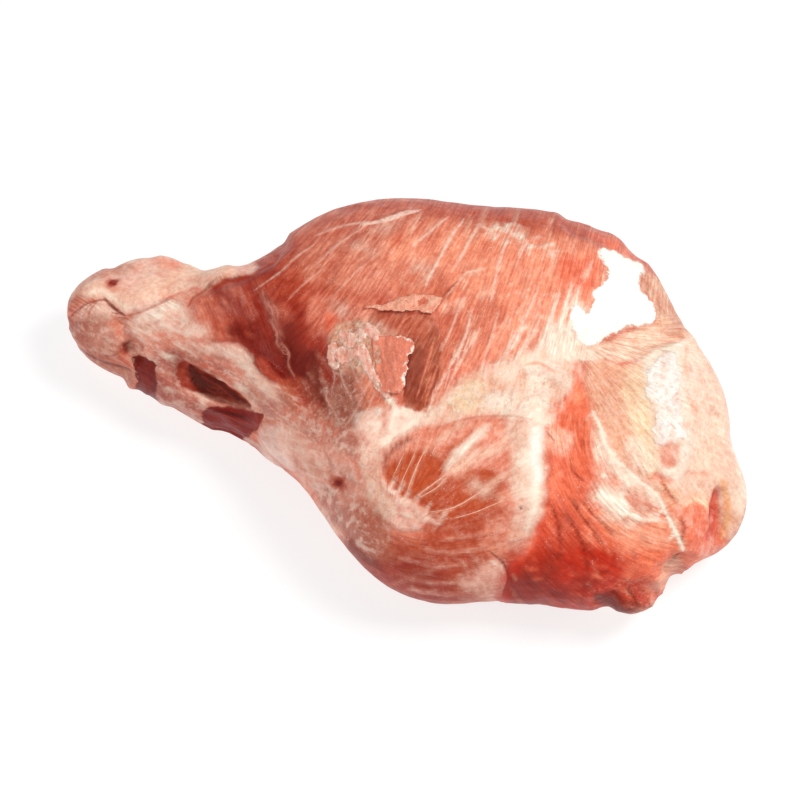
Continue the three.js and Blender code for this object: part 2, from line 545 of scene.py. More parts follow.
# %% Far side washes
FAR_HEEL = "-290,-260 -188,-260 -176,-100 -186,0 -172,100 -150,200 -160,260 -290,260"
FAR_SHANK = "-180,-120 -120,-110 -92,-40 -104,30 -120,90 -176,110"
FAR_FILM = "-70,20 -20,44 40,40 96,30 150,44 140,70 70,74 0,78 -60,56"
FAR_INSIDE = "-60,-90 0,-100 60,-80 50,-30 -20,-20 -70,-40"
FAR_RUMP = "168,-150 260,-150 260,200 190,200 176,120 160,40 176,-40"
FAR_FAT = "190,-20 226,-30 240,10 228,60 196,50 184,14"
FAR_BACK = "60,110 110,96 160,110 170,150 120,166 70,150"
wash(HEEL_PALE, FAR_HEEL, 10, grain=0.15, fatty=0.35)
wash(FILM_PINK, FAR_SHANK, 10, grain=0.3, fatty=0.4)
wash(CREAM, FAR_FILM, 12, 0.7, grain=0.3, fatty=0.7)
wash(FILM_PINK, FAR_INSIDE, 14, 0.6, grain=0.5, fatty=0.4)
wash(PEACH, FAR_RUMP, 14, 0.85, grain=0.5, fatty=0.5)
wash(FAT_WHITE, FAR_FAT, 10, 0.7, grain=0.2, fatty=0.8)
wash(CREAM, FAR_BACK, 12, 0.6, grain=0.4, fatty=0.6)
wash(LEAN_DEEP, "-90,60 -40,84 20,96 10,130 -50,126 -96,100", 14, 0.7)
scatter(CREAM, FAR_FILM, 26, 10, 0.7, lift=0.4, way=0.1, seed=11, fatty=0.7)
scatter(TENDON, FAR_SHANK, 22, 9, 0.7, lift=0.4, way=0.1, seed=12, fatty=0.6)
scatter(FAT_WHITE, FAR_BACK, 16, 9, 0.6, lift=0.5, seed=13, fatty=0.7)
scatter(CREAM, FAR_RUMP, 40, 10, 0.6, lift=0.4, seed=14, fatty=0.6)
scatter(HEEL_ROSE, FAR_HEEL, 30, 11, 0.5, lift=-0.4, seed=15)
print("far washes", mark_count)

# %% Far side seams
FAR_SEAMS = [
    (1.5, "-110,20 -60,34 0,46 60,40 120,28 200,24"),
    (1.3, "-150,60 -90,74 -20,86 60,92 140,96"),
    (1.2, "-200,-10 -140,-16 -80,-30 -30,-60"),
    (1.3, "-40,-50 20,-36 90,-30 140,-60 190,-70"),
    (1.1, "150,40 170,70 176,110 160,150"),
    (1.1, "30,96 50,120 60,150"),
    (1.0, "90,-30 110,0 120,28"),
]
for half_width, route in FAR_SEAMS:
    stroke(CREAM, route, half_width * 3, 5.0, 0.6, lift=-0.6, fatty=0.5)
    streak(FAT_WHITE, route, half_width, 0.7, lift=-0.6)
print("far seams", len(FAR_SEAMS))
active = seen_side


# %% [markdown]
# ## The big muscle
# The top of the leg is one broad muscle. Its left part is deep red where the knife
# uncovered it, and its right part lies under a thin film, which makes it paler and
# more orange. Along the back edge the colour is a darker red-brown.

# %% Thigh washes
THIGH_DEEP = """250,268 270,262 292,284 303,306 310,328 322,346 326,372 318,394 304,402 290,392
    280,352 266,318 254,290"""
FAN = """396,232 440,216 500,216 560,226 596,244 604,276 590,312 574,350 540,362 496,362
    468,362 452,396 434,402 438,366 441,330 430,304 404,296 388,262"""
wash(LEAN_WARM, "250,262 296,242 330,262 360,282 364,300 318,302 276,300", 12, 0.8)
wash(LEAN_DEEP, THIGH_DEEP, 14)
wash(LEAN_DARK, "282,320 294,320 302,338 318,362 320,392 304,400 290,380 282,344", 9, 0.6)
wash(LEAN_ROSE, "314,296 344,294 384,304 410,312 404,328 372,318 350,330 330,334 318,318", 9, 0.9)
wash(LEAN_PINK, "300,264 330,236 372,226 404,222 396,262 372,290 330,286", 12, 0.6)
wash(FAN_ORANGE, FAN, 16, grain=0.8)
wash(FAN_RED, "556,262 574,256 594,264 594,286 572,290 558,280", 9, 0.7)
wash(LEAN_WARM, "441,320 454,312 462,330 452,362 440,384 434,372", 10, 0.45)
wash(LEAN_WARM, "396,270 424,264 446,280 440,298 412,300 394,288", 8, 0.5)
wash(LEAN_WARM, "446,294 478,292 500,306 496,324 472,356 452,388 444,350", 9, 0.45)
stroke(LEAN_DEEP, "254,264 276,252 300,238", 12, 7, 0.7)
stroke(LEAN_WARM, "262,262 304,232 342,213 380,206 430,203", 10, 6, 0.8)
stroke(LEAN_WARM, "424,213 460,214 508,217 556,225 592,240", 26, 10, 0.95)
stroke(FAN_RED, "592,230 618,246 646,266", 8, 4, 0.7)
wash(FAN_RED, "325,316 330,312 336,318 336,332 329,336 325,328", 3, 0.7, lift=0.5)
print("thigh marks", mark_count)


# %% [markdown]
# ## The heel and the hock
# The heel keeps its pale outer layer, which ends in soft folds. Below it a knob of
# cartilage shows where the foot was cut off. Creases part the two, dark with painted
# shade, and painted shade darkens the lower edge of the hock.

# %% Heel
HEEL = """52,316 72,300 100,296 122,313 143,312 172,299 196,291 210,281 246,274 250,262 236,257
    196,256 160,246 110,250 70,270"""
KNOB = "60,318 82,316 104,306 124,318 128,340 118,356 100,366 80,352 62,334"
wash(HEEL_PALE, HEEL, 6, grain=0.1, fatty=0.12)
wash(HEEL_ROSE, "160,262 200,262 224,272 200,286 178,300 160,296", 8, 0.85, lift=-0.5)
wash(HEEL_BROWN, "64,300 76,276 98,262 128,258 132,268 104,276 88,290 78,308", 7, 0.65)
wash(CREAM, "84,292 100,284 124,292 146,276 162,284 156,300 138,306 118,306 96,298", 8, 0.8,
     lift=0.9)
wash(CREAM, "158,278 184,264 204,262 222,264 232,270 216,278 196,286 176,296 160,294", 6, 0.9,
     lift=0.5)
wash(HEEL_ROSE, "150,254 172,259 196,259 178,268 158,264", 5, 0.6)
stroke(CREAM, "176,304 196,292 218,280 250,272", 6, 4, 0.7, lift=0.5)
stroke(HEEL_BROWN, "206,288 220,281 240,277", 3, 3, 0.5, lift=-0.4)
scatter(HEEL_ROSE, HEEL, 22, 8, 0.5, lift=-0.4, seed=21)
scatter(FAT_WHITE, HEEL, 14, 7, 0.35, lift=0.3, seed=22)
wash(CARTILAGE, KNOB, 6, grain=0.1, fatty=0.4, torn=0.1)
wash(CARTILAGE_PALE, "87,322 96,314 108,316 120,326 122,342 110,354 98,352 88,338", 6, 0.8,
     lift=1.6, grain=0.0)
wash(HEEL_ROSE, "108,322 118,322 128,332 126,342 118,338 110,330", 4, 0.8)
# Painted shade along the lower edge of the hock.
wash(HEEL_BROWN, "76,350 104,362 126,368 134,382 112,384 84,370", 5, 0.9, grain=0.2, torn=0.3)
scatter(HEEL_BROWN, KNOB, 16, 6, 0.7, lift=-0.9, seed=23)
scatter(HEEL_PALE, KNOB, 14, 5, 0.7, lift=0.6, seed=24)
wash(LEAN_ROSE, "106,278 118,278 119,291 108,291", 5, 0.7)
wash(HEEL_PALE, "74,312 88,304 102,301 114,308 128,318 112,318 98,312 82,318", 4, 0.85)
scatter(HEEL_BROWN, "62,322 84,344 104,358 92,366 70,346", 12, 6, 0.7, lift=-0.8, way=0.8, seed=25)
wash(LEAN_WINE, "109,281 115,280 117,285 115,289 110,288", 2.2, lift=-0.8)
wash(None, "66,312 76,300 96,294 108,299 124,311 146,308 140,290 100,278 72,292", 5, lift=1.3)
wash(None, "66,322 82,312 102,306 116,316 122,330 100,322 80,326", 5, lift=-1.2)
print("heel marks", mark_count)

# %% Heel creases, with painted shade
CREASES = [
    (LEAN_DEEP, 0.9, 0.80, 1.0, "68,318 76,311 86,304 97,301 104,300"),
    (LEAN_DARK, 1.3, 0.90, 1.6, "104,299 110,305 117,311 124,316"),
    (LEAN_WARM, 0.8, 0.65, 0.5, "86,318 88,311 96,303"),
    (LEAN_WARM, 0.9, 0.60, 0.8, "126,316 142,312 156,306 172,298"),
    (HEEL_BROWN, 0.8, 0.60, 0.7, "84,322 88,336 92,350 102,356"),
    (LEAN_DEEP, 0.8, 0.55, 0.7, "102,356 112,356 121,350"),
    (HEEL_BROWN, 0.8, 0.60, 0.5, "100,324 96,332 98,342"),
    (LEAN_WARM, 0.8, 0.50, 0.5, "112,316 119,322 128,326"),
    (LEAN_DARK, 1.0, 0.70, 1.2, "78,350 92,361 112,368 130,372"),
]
# The dark colour of each crease is painted shade in the crease, over real sunk relief.
for colour, half_width, strength, sunk, route in CREASES:
    stroke(colour, route, half_width * 2, 2.0, strength * 0.5, lift=-sunk)
    streak(colour, route, half_width, strength)
# A dark pit between the cartilage and the shank: painted shadow in the hole.
wash(LEAN_DARK, "120,346 128,339 138,340 142,347 134,351 122,354", 3, 0.95, lift=-2.2)
wash(PAINTED_SHADOW_BLACK, "126,342 136,341 138,347 128,349", 2)
wash(HEEL_BROWN, "104,346 120,344 124,356 110,360", 5, 0.7)
stroke(FAT_WHITE, "84,297 98,292 110,296 124,307 138,309", 5, 3.5, 0.7)
streak(SCRAP_RED, "166,298 173,296 182,292", 1.2, 0.6)
streak(SCRAP_RED, "188,291 194,288 201,292", 1.2, 0.55)
print("streaks", mark_count["streak"])


# %% [markdown]
# ## The shank
# Two deep hollows open between the tendons of the shank, where dark wine-red muscle
# shows, darkest with painted shade at their deepest. Pale films arch round them. The
# white tendon above runs on to the heel.

# %% Shank films
SHANK_FILM = """128,322 160,306 186,304 198,322 206,338 240,344 260,366 284,384 300,400 312,430
    300,446 262,430 240,424 200,410 160,398 138,384 128,350"""
wash(FILM_PINK, SHANK_FILM, 7, grain=0.3, fatty=0.7)
wash(FILM_MAUVE, "150,354 172,350 196,352 222,360 236,374 214,374 190,366 178,376 182,394 206,408 "
     "184,410 158,398 152,378", 7, 0.85, fatty=0.5)
wash(FILM_MAUVE, "240,384 256,388 280,402 284,414 268,414 252,404", 8, 0.6)
wash(HEEL_ROSE, "272,388 296,390 314,402 306,420 288,418 274,404", 6, 0.8, fatty=0.6)
wash(FILM_LILAC, "258,432 272,426 296,434 312,448 318,470 300,474 280,462 264,448", 6, grain=0.2,
     lift=1.2, fatty=0.5)
stroke(TENDON, "132,322 150,313 170,308 188,311 196,324", 14, 4, 1.0, lift=0.8, fatty=0.5)
stroke(FAT_WHITE, "150,318 166,313 182,312 190,318", 12, 4, 0.95, fatty=0.2)
stroke(HEEL_PALE, "166,316 182,322 198,331 212,340", 16, 5, 1.0)
stroke(TENDON, "136,330 160,326 184,332 204,344", 8, 4, 0.75, lift=0.5)
stroke(HEEL_ROSE, "130,336 160,334 190,340 214,346", 4, 3, 0.6, lift=-0.5)
stroke(TENDON, "196,348 219,349 237,353 248,364 257,379 271,391 290,402", 15, 5, 0.85, lift=1.0,
       fatty=0.5)
stroke(HEEL_ROSE, "176,352 203,357 229,366 248,384 268,406", 5, 4, 0.6)
stroke(FAT_WHITE, "180,318 186,322 192,330", 6, 4, 0.8, lift=0.4)
scatter(FAT_WHITE, SHANK_FILM, 34, 8, 0.6, lift=0.4, way=0.55, seed=31)
scatter(FILM_GREY, SHANK_FILM, 22, 7, 0.6, lift=-0.4, way=0.7, seed=32)
scatter(LEAN_PINK, SHANK_FILM, 14, 7, 0.5, lift=-0.3, way=0.6, seed=33)
# Grey film along the lower edge of the shank, darkened there by painted shade.
wash(FILM_GREY, "150,396 190,412 230,436 262,452 280,480 252,480 210,448 160,420", 5, 0.9,
     lift=-3.0, fatty=0.5, grain=0.2)
wash(HEEL_PALE, "278,434 296,430 318,442 322,458 304,462 286,452", 7, 0.8, fatty=0.3)
wash(FILM_LILAC, "256,444 268,440 280,458 264,462", 6, 0.7)
print("shank marks", mark_count)

# %% Shank hollows
patch(LEAN_DARK, "133,358 142,358 151,361 155,372 157,406 146,403 138,390 133,370", lift=-1.0,
      grain=0.6, fatty=0.0)
patch(LEAN_DEEP, "180,365 192,366 205,372 220,380 234,392 250,406 236,407 216,401 205,394 190,390 "
      "181,386 174,376", strength=0.92, lift=-2.2, grain=0.6, fatty=0.1)
patch(HOLLOW_RED, "202,416 210,409 224,407 238,408 252,411 262,415 257,426 248,436 236,450 "
      "222,442 206,430", lift=-1.6, grain=0.6, fatty=0.0)
# Painted shadow deep in the hollows: black in the core of the middle one, a black line in the lower
# one.
wash(PAINTED_SHADOW_BLACK, "187,367 196,371 208,377 218,381 226,390 238,399 248,408 234,407 220,402 206,396 "
     "194,388 188,378", 1.8, 0.8, lift=-1.2, grain=0.6)
stroke(PAINTED_SHADOW_BLACK, "210,412 226,414 246,419", 4, 2, 0.8)
stroke(LEAN_DEEP, "254,418 258,424 250,434", 5, 3, 0.7)
HOLLOW_FIBRES = ["200,378 216,388 234,402", "206,390 222,398 236,404", "214,414 232,420 250,427"]
for route in HOLLOW_FIBRES:
    streak(LEAN_DEEP, route, 0.9, 0.7)
stroke(LEAN_ROSE, "186,362 202,365 220,373 230,382", 4, 2.5, 0.9, lift=0.6)
stroke(FILM_PINK, "212,378 228,384 244,396 258,408", 4, 2.2, 0.9, lift=0.8)
stroke(LEAN_WARM, "178,368 182,378 190,388", 6, 3, 0.8)
stroke(FILM_PINK, "200,395 220,401 246,408 262,410", 3.5, 2.5, 0.7, lift=0.8)
streak(FILM_GREY, "262,408 267,412 272,416", 2.4, 0.6, taper=False)
streak(LEAN_WARM, "256,434 266,450 283,466", 0.9, 0.45, lift=-0.6)
print("patches", mark_count["patch"])

# %% Calf
CALF = """202,295 214,286 228,279 250,275 256,278 255,288 264,299 272,323 283,342 290,361
    295,379 288,386 273,380 258,371 251,358 240,344 220,343 207,338 200,327 193,320 194,306"""
wash(LEAN_DEEP, CALF, 3.5, grain=0.8, fatty=0.1)
patch(LEAN_DEEP, CALF, strength=0.75, lift=-0.6)
wash(LEAN_ROSE, "184,302 198,292 212,296 220,312 234,326 236,342 206,342 192,330 184,316", 12,
     grain=0.5)
wash(LEAN_DARK, "226,330 242,322 258,324 270,340 284,362 292,380 274,378 258,364 246,348 232,340",
     10, 0.85)
wash(LEAN_WARM, "254,360 262,358 276,374 288,382 284,387 268,378 256,368", 4, 0.7)
wash(FILM_MAUVE, "218,290 238,282 250,298 256,316 244,322 230,314", 6, 0.45)
stroke(FILM_MAUVE, "262,294 268,308 274,326", 10, 5, 0.5)
wash(LEAN_WARM, "252,280 272,274 300,280 312,292 296,300 276,300 258,294", 8, 0.7)
wash(LEAN_DARK, "272,336 284,340 296,362 300,384 290,384 280,364", 5, 0.8)
wash(LEAN_ROSE, "308,282 326,278 336,294 316,304", 9, 0.5)
for seed, colour, way in ((35, LEAN_ROSE, 0.5), (36, LEAN_DARK, 1.2), (37, LEAN_WARM, 1.2)):
    scatter(colour, "196,304 226,284 258,300 262,332 228,340 204,330", 12, 8, 0.6, way=way, seed=seed)
# Painted shadow along the ragged left edge of the calf.
streak(LEAN_DARK, "188,306 192,298 203,291 214,282", 1.3, 0.6, lift=-0.6)
streak(LEAN_DARK, "240,345 252,358 260,372", 1.2, 0.5, lift=-0.4)
CALF_SEAM = spots(
    "254,284 262,292 264,302 271,310 272,322 279,332 279,344 286,354 285,364 292,378")
stroke(FILM_GREY, CALF_SEAM[1:7], 6, 4, 0.5)
SEAM_PARTS = ((0, 1, 5), (5, 2, 5), (-3, 4, 8), (2, 6, 10))
for shift, first, last in SEAM_PARTS:
    route = CALF_SEAM[first:last] + (shift, 0)
    stroke(FILM_PINK, route, 1.6, 2.0, 0.35, lift=0.3)
    streak(FILM_PINK, route, 0.45, 0.6)
print("calf marks", mark_count)


# %% [markdown]
# ## The torn middle
# Where the outer film was pulled away, the middle of the leg shows brown meat in a
# window, a tongue of meat that stands up at its right edge, white shreds of film
# and a grey, mottled hollow. These sharp borders make the piece recognisable.

# %% Torn middle, soft
GREY_HOLLOW = "312,362 334,352 352,366 362,384 366,406 360,422 344,430 326,424 308,404 302,380"
SHREDS = "328,336 342,326 360,320 380,326 378,344 384,360 372,372 356,376 340,372 330,358"
WHITE_FILM = "352,418 380,408 404,408 430,416 420,432 396,444 380,456 366,448"
wash(MEAT_GREY, GREY_HOLLOW, 8, grain=0.4, torn=0.45, lift=-0.8)
wash(LEAN_DARK, "298,356 322,350 332,368 328,396 318,408 304,400 298,380", 6, 0.85, lift=-0.8)
wash(LEAN_DEEP, "314,340 328,332 336,340 334,352 338,368 334,384 322,376", 6, 0.8, lift=-0.4)
wash(BROWN, "280,382 300,380 314,392 312,414 294,416 280,402", 7, 0.85)
wash(LEAN_ROSE, "296,404 316,402 330,420 328,444 310,440 298,424", 6, 0.8, torn=0.3)
wash(FAN_ORANGE, "352,378 366,372 384,392 392,408 376,416 360,404", 6, 0.7, torn=0.3)
wash(LEAN_DEEP, "290,378 304,378 312,394 306,408 294,402", 5, 0.6)
wash(PEACH, SHREDS, 6, 0.75, torn=0.6, lift=0.8)
wash(TENDON, WHITE_FILM, 6, fatty=0.3, grain=0.2, lift=0.6)
scatter(FAT_WHITE, SHREDS, 30, 4.5, 0.8, lift=1.2, seed=41)
scatter(BROWN_DEEP, SHREDS, 18, 3.5, 0.8, lift=-1.2, seed=42)
scatter(FILM_PINK, GREY_HOLLOW, 26, 7.0, 0.6, lift=1.0, way=1.0, seed=43)
scatter(BROWN_DEEP, GREY_HOLLOW, 20, 7.0, 0.6, lift=-1.0, way=0.9, seed=44)
scatter(FAT_WHITE, WHITE_FILM, 22, 6, 0.8, lift=0.4, way=-0.4, seed=45)
stroke(FAT_WHITE, "352,352 364,366 374,378 384,393 392,404 398,416", 5, 2.5, 1.0, lift=1.2)
stroke(LEAN_PINK, "381,396 385,410 384,426", 7, 3, 0.8)
stroke(FAT_WHITE, "436,410 412,424 394,438 382,452 376,468", 13, 5, 1.0, lift=0.5)
stroke(FAT_WHITE, "392,400 394,416 390,434", 6, 3, 0.9)
print("torn marks", mark_count)

# %% Torn middle, crisp
WINDOW = """368,317 389,313 426,317 437,329 439,346 441,362 436,381 426,401 417,410 406,409
    403,397 404,377 408,360 411,348 404,340 392,336 380,332"""
patch(BROWN, WINDOW, strength=0.95, lift=-1.0, torn=0.0)
wash(LEAN_ROSE, "368,316 392,313 426,317 434,330 412,338 384,334", 6, 0.45)
# Painted shadow cast by the tongue on the window to its right.
wash(BROWN_DEEP, "404,356 414,344 424,352 422,380 420,402 410,408 404,398", 5, 0.9)
HOLLOW_THREADS = [
    "328,362 333,376 330,392", "338,368 343,384 351,400", "350,362 355,378 364,394",
    "322,388 327,402 336,416", "366,386 356,408 344,426", "374,392 366,412 356,428",
]
for route in HOLLOW_THREADS:
    stroke(FILM_PINK, route, 2.0, 2.0, 0.5, lift=0.5)
    streak(TENDON, route, 0.5, 0.4)
WINDOW_FIBRES = [
    "424,404 432,378 442,352", "416,398 426,366 434,338", "434,398 444,372 452,348",
    "396,330 404,320 412,316",
]
for route in WINDOW_FIBRES:
    streak(FAN_ORANGE, route, 1.0, 0.6)
# Painted shadow under the lower edge of the torn flap.
streak(LEAN_DEEP, "378,312 392,312 408,313 430,315", 1.3, 0.7)
# Painted shadow in the crevice left of the upper layer; the cream line after it is the layer's own
# lip.
streak(LEAN_DEEP, "430,306 444,295 456,282", 1.2, 0.6, lift=-0.5)
streak(CREAM, "444,298 456,285 466,274 480,271", 1.3, 0.7, lift=0.3)
streak(LEAN_WARM, "436,308 440,330 439,346 436,368", 0.9, 0.4)
# Painted shadow along the right edge of the tongue.
streak(LEAN_DARK, "404,396 406,376 409,360 413,348", 1.4, 0.6)
print("marks", mark_count)


# %% [markdown]
# ## The film over the fan
# Pale lines of sinew spread over the thigh from the upper right, like the ribs of a
# fan. They follow the fibres, so each is a short route in the fibre direction.

# %% Fan ribs
FAN_RIBS = [
    (1.2, 0.60, "411,248 425,236 446,219"),
    (1.4, 0.75, "425,284 438,261 450,238 462,222"),
    (1.2, 0.60, "455,268 467,245 478,225"),
    (1.0, 0.50, "478,226 492,233"),
    (1.2, 0.65, "490,300 496,274 503,249 507,240"),
    (1.0, 0.50, "515,268 522,249 526,242"),
    (1.3, 0.75, "429,406 444,376 463,341 471,312"),
    (1.1, 0.60, "446,389 463,356 479,330"),
    (1.3, 0.65, "503,356 513,337 526,316 538,288"),
    (1.1, 0.60, "549,332 553,312 559,293"),
    (1.2, 0.60, "584,282 591,263"),
    (0.9, 0.45, "440,352 452,326 462,298"),
    (0.9, 0.45, "480,372 490,340 498,312"),
    (0.9, 0.45, "520,352 532,326 540,302"),
]
for half_width, strength, route in FAN_RIBS:
    stroke(CREAM, route, half_width * 2.0, 2.4, strength * 0.8, lift=0.2)
    streak(TENDON, route, half_width * 0.9, strength)
WISPS = [
    (3, "516,360 530,338 540,316"),
    (4, "534,358 546,330 556,296"),
    (5, "548,358 561,322 572,284"),
    (6, "562,354 570,324 578,288"),
    (5, "576,348 580,326 582,304"),
    (3, "500,362 514,344 524,326"),
]
for width, route in WISPS:
    stroke(FAT_WHITE, route, width, 2.0, 0.9, lift=0.4, fatty=0.3)
print("fan ribs", len(FAN_RIBS))

# %% Thigh lines and dabs of fat
FIBRE_SLOPE = -1.15
THIGH_LINES = [
    (0.8, 0.50, "255,290 278,274 294,259 313,246"),
    (0.9, 0.55, "316,236 342,227 367,223"),
    (2.2, 0.95, "362,226 389,220 402,215 418,212"),
    (0.8, 0.45, "316,265 335,247 351,236 364,228"),
    (0.7, 0.35, "288,300 304,284 322,270"),
    (0.7, 0.35, "330,300 348,280 366,264"),
]
for half_width, strength, route in THIGH_LINES:
    streak(TENDON, route, half_width, strength, lift=0.2)
streak(LEAN_DEEP, "386,218 396,213 408,210", 0.9, 0.6)
FAN_FAT = "490,228 520,226 530,238 560,248 552,260 520,250 494,244"
FAN_LOW = "500,276 545,268 556,286 530,320 502,326 486,300"
scatter(FAT_WHITE, FAN_FAT, 34, 5, 0.85, lift=0.5, seed=51, fatty=0.4)
scatter(CREAM, FAN_LOW, 18, 5, 0.6, lift=0.3, seed=52, fatty=0.5)
wash(LEAN_ROSE, "404,226 436,222 456,230 430,242", 8, 0.5)
scatter(CREAM, FAN, 60, 9, 0.45, lift=0.2, way=FIBRE_SLOPE, seed=53)
scatter(FAN_RED, FAN, 40, 8, 0.5, way=FIBRE_SLOPE, seed=54)
scatter(CREAM, "462,264 480,260 496,272 478,284", 8, 5, 0.6, seed=55)
print("marks", mark_count)


# %% [markdown]
# ## The cream zone
# Across the middle runs a band of soft fat and film, cream to yellow, where the thigh,
# the round knuckle and the rump meet.

# %% Cream zone
CREAM_ZONE = """430,410 450,392 476,372 510,360 546,352 572,356 576,384 558,400 544,418 512,418
    470,418 440,428 420,426"""
wash(CREAM, CREAM_ZONE, 10, grain=0.2, fatty=0.9, lift=0.5)
wash(CREAM_YELLOW, "446,404 462,386 484,382 482,402 460,414", 8, 0.85)
wash(FAT_WHITE, "526,368 546,360 560,368 552,392 546,412 530,410 528,388", 6, 0.9)
wash(FAT_WHITE, "546,330 564,326 580,338 574,358 550,360", 6, 0.8, fatty=0.7)
wash(LEAN_PINK, "552,394 564,384 574,394 574,432 560,440 550,420", 7, 0.8, fatty=0.4)
wash(FAT_WHITE, "484,396 506,392 530,398 546,402 556,416 540,428 516,422 490,414", 6, 0.8)
stroke(FAT_WHITE, "506,376 536,356 572,346", 16, 8, 0.7, fatty=0.2)
wash(FAT_WHITE, "548,376 568,372 574,394 552,402", 6, 0.6)
scatter(FAT_WHITE, CREAM_ZONE, 40, 6, 0.8, lift=0.6, seed=61)
scatter(LEAN_PINK, CREAM_ZONE, 26, 5, 0.6, lift=-0.5, seed=62)
scatter(CREAM_YELLOW, CREAM_ZONE, 20, 6, 0.6, lift=0.3, seed=63)
stroke(FAN_RED, "574,366 579,386 584,404 586,420", 10, 4, 0.9, lift=-0.8)
streak(FLANK_ORANGE, "524,366 538,364 553,372", 1.3, 0.5)
streak(LEAN_WARM, "436,428 470,418 506,416 530,420", 1.0, 0.4, lift=-0.4)
print("marks", mark_count)


# %% [markdown]
# ## The knuckle
# The round knuckle muscle sits in its own pale capsule. Strands of the capsule spread
# from lower left to upper right, and a white rim closes it on the right.

# %% Knuckle washes
KNUCKLE = """378,470 384,450 400,436 420,430 442,432 470,422 512,422 532,428 540,458 538,500
    522,542 505,560 460,548 424,522 396,494"""
LOWER_KNUCKLE = """440,520 480,512 528,508 534,534 512,560 500,600 440,606 392,596 372,572
    380,548 420,540"""
wash(LEAN_PINK, KNUCKLE, 7, grain=0.5, fatty=0.3)
wash(KNUCKLE_BROWN, "384,472 392,461 407,452 424,449 438,454 444,466 438,490 428,504 406,498 "
     "392,488", 5, grain=0.5, fatty=0.0, lift=-0.8)
wash(KNUCKLE_BROWN, "420,494 440,482 466,472 490,470 504,482 500,500 486,514 470,526 450,532 "
     "430,518", 7, 0.95, grain=0.5, fatty=0.1)
wash(KNUCKLE_BROWN, "444,450 462,436 480,432 470,452 452,468 438,474", 7, 0.6)
wash(PEACH_PALE, "504,422 516,420 530,434 530,494 510,490 512,456", 8, 0.8, fatty=0.4)
# The lower knuckle: brown film, darkened towards the bottom and lowest left by painted shade.
wash(KNUCKLE_LOW_AND_SHADE, LOWER_KNUCKLE, 10, 0.95, grain=0.5, fatty=0.2)
wash(LEAN_DEEP, "374,556 400,550 432,560 450,580 440,608 404,606 374,586", 12, 0.85, grain=0.4)
wash(LEAN_PINK, "484,524 508,510 524,516 526,540 520,558 500,562 486,556", 8, 0.8)
wash(HEEL_PALE, "380,504 394,498 412,504 425,511 424,522 414,528 400,526 384,518", 5, grain=0.2,
     fatty=0.6, lift=1.6)
scatter(HEEL_BROWN, "384,506 436,518 432,532 390,528", 14, 8, 0.6, lift=-1.0, way=0.35, seed=73)
scatter(FAT_WHITE, "384,502 436,516 430,528 390,522", 10, 6, 0.6, lift=0.8, way=0.35, seed=74)
stroke(KNUCKLE_BROWN, "430,500 444,510 456,522", 14, 5, 0.8)
scatter(FILM_PINK, LOWER_KNUCKLE, 16, 14, 0.3, lift=0.5, way=-0.15, seed=71)
scatter(LEAN_WARM, LOWER_KNUCKLE, 22, 10, 0.4, lift=-0.4, way=-0.1, seed=72)
print("knuckle washes", mark_count["wash"])

# %% Knuckle rim and strands
stroke(FAT_WHITE, "524,452 521,472 522,490", 14, 6, 0.9)
stroke(PEACH_PALE, "526,418 528,452 527,482 526,510 518,542", 28, 8, 0.6, lift=0.8, fatty=0.6,
       grain=0.1)
stroke(FAT_WHITE, "535,404 535,452 536,484 534,508 528,530", 15, 7, 1.0, lift=0.8, fatty=0.2)
# The pure white core of the rim: a painted highlight on the fat.
stroke(FAT_WITH_PAINTED_HIGHLIGHT, "536,430 536,456 537,484", 5, 7, 1.0)
stroke(LEAN_WINE, "554,450 555,476 551,504 541,530 529,554", 4, 3, 0.4, lift=-1.6)
stroke(FAT_WHITE, "444,468 458,454 470,442 488,426", 9, 3.5, 0.9, lift=0.4, fatty=0.3)
stroke(CREAM, "450,474 472,459 508,446", 11, 5, 0.85, lift=0.3)
stroke(CREAM, "486,486 508,476 530,470", 8, 5, 0.75)
stroke(CREAM, "436,442 456,428 472,424", 6, 4, 0.7)
# Painted shadow along the right edge of the lower lobe.
stroke(LEAN_DARK, "506,562 511,576 507,592 496,602", 4, 2.5, 0.8, lift=-2.4)
wash(HEEL_PALE, "462,580 476,566 494,560 504,568 505,582 498,595 478,596", 10, 0.75, lift=1.4,
     fatty=0.2, grain=0.2)
stroke(FAT_WHITE, "490,560 501,566 505,578 500,590", 3, 1.8, 0.9, lift=0.4)
scatter(LEAN_WARM, "466,572 500,566 500,592 470,594", 7, 7, 0.5, lift=-0.5, way=1.2, seed=75)
KNUCKLE_STRANDS = [
    (1.2, 0.80, "406,496 412,478 419,462 427,446"),
    (1.5, 0.85, "413,498 440,479 462,460"),
    (1.2, 0.80, "415,500 436,488 450,474"),
    (1.2, 0.70, "423,513 455,507 490,486 512,477"),
    (1.1, 0.65, "431,456 438,444 452,434"),
    (0.8, 0.55, "390,484 398,466 410,440"),
    (0.8, 0.50, "398,490 408,468 418,446"),
    (0.9, 0.45, "440,521 470,514 500,502 524,494"),
]
for half_width, strength, route in KNUCKLE_STRANDS:
    stroke(CREAM, route, half_width * 1.3, 1.6, strength * 0.6, lift=0.4)
# Painted shadow along the left edge of the knuckle.
stroke(BROWN_DEEP, "382,474 384,460 394,447 410,438", 5, 3, 0.7, lift=-1.2)
RAGGED_EDGE = spots("383,478 390,488 398,492 404,500 415,502 425,513 440,521")
stroke(TENDON, RAGGED_EDGE + (-2, 2), 5, 2.5, 0.95, lift=1.2)
for foot in RAGGED_EDGE[1:]:
    stroke(TENDON, [foot, foot + (5, -10)], 3, 2, 0.8, lift=0.3)
LOWER_WRINKLES = [
    "386,552 410,560 440,566 474,562", "398,574 428,582 462,582", "448,552 462,562 468,576",
    "458,546 474,556 480,572", "440,540 470,536 500,528", "420,548 450,552 486,548",
    "408,588 440,594 470,594",
]
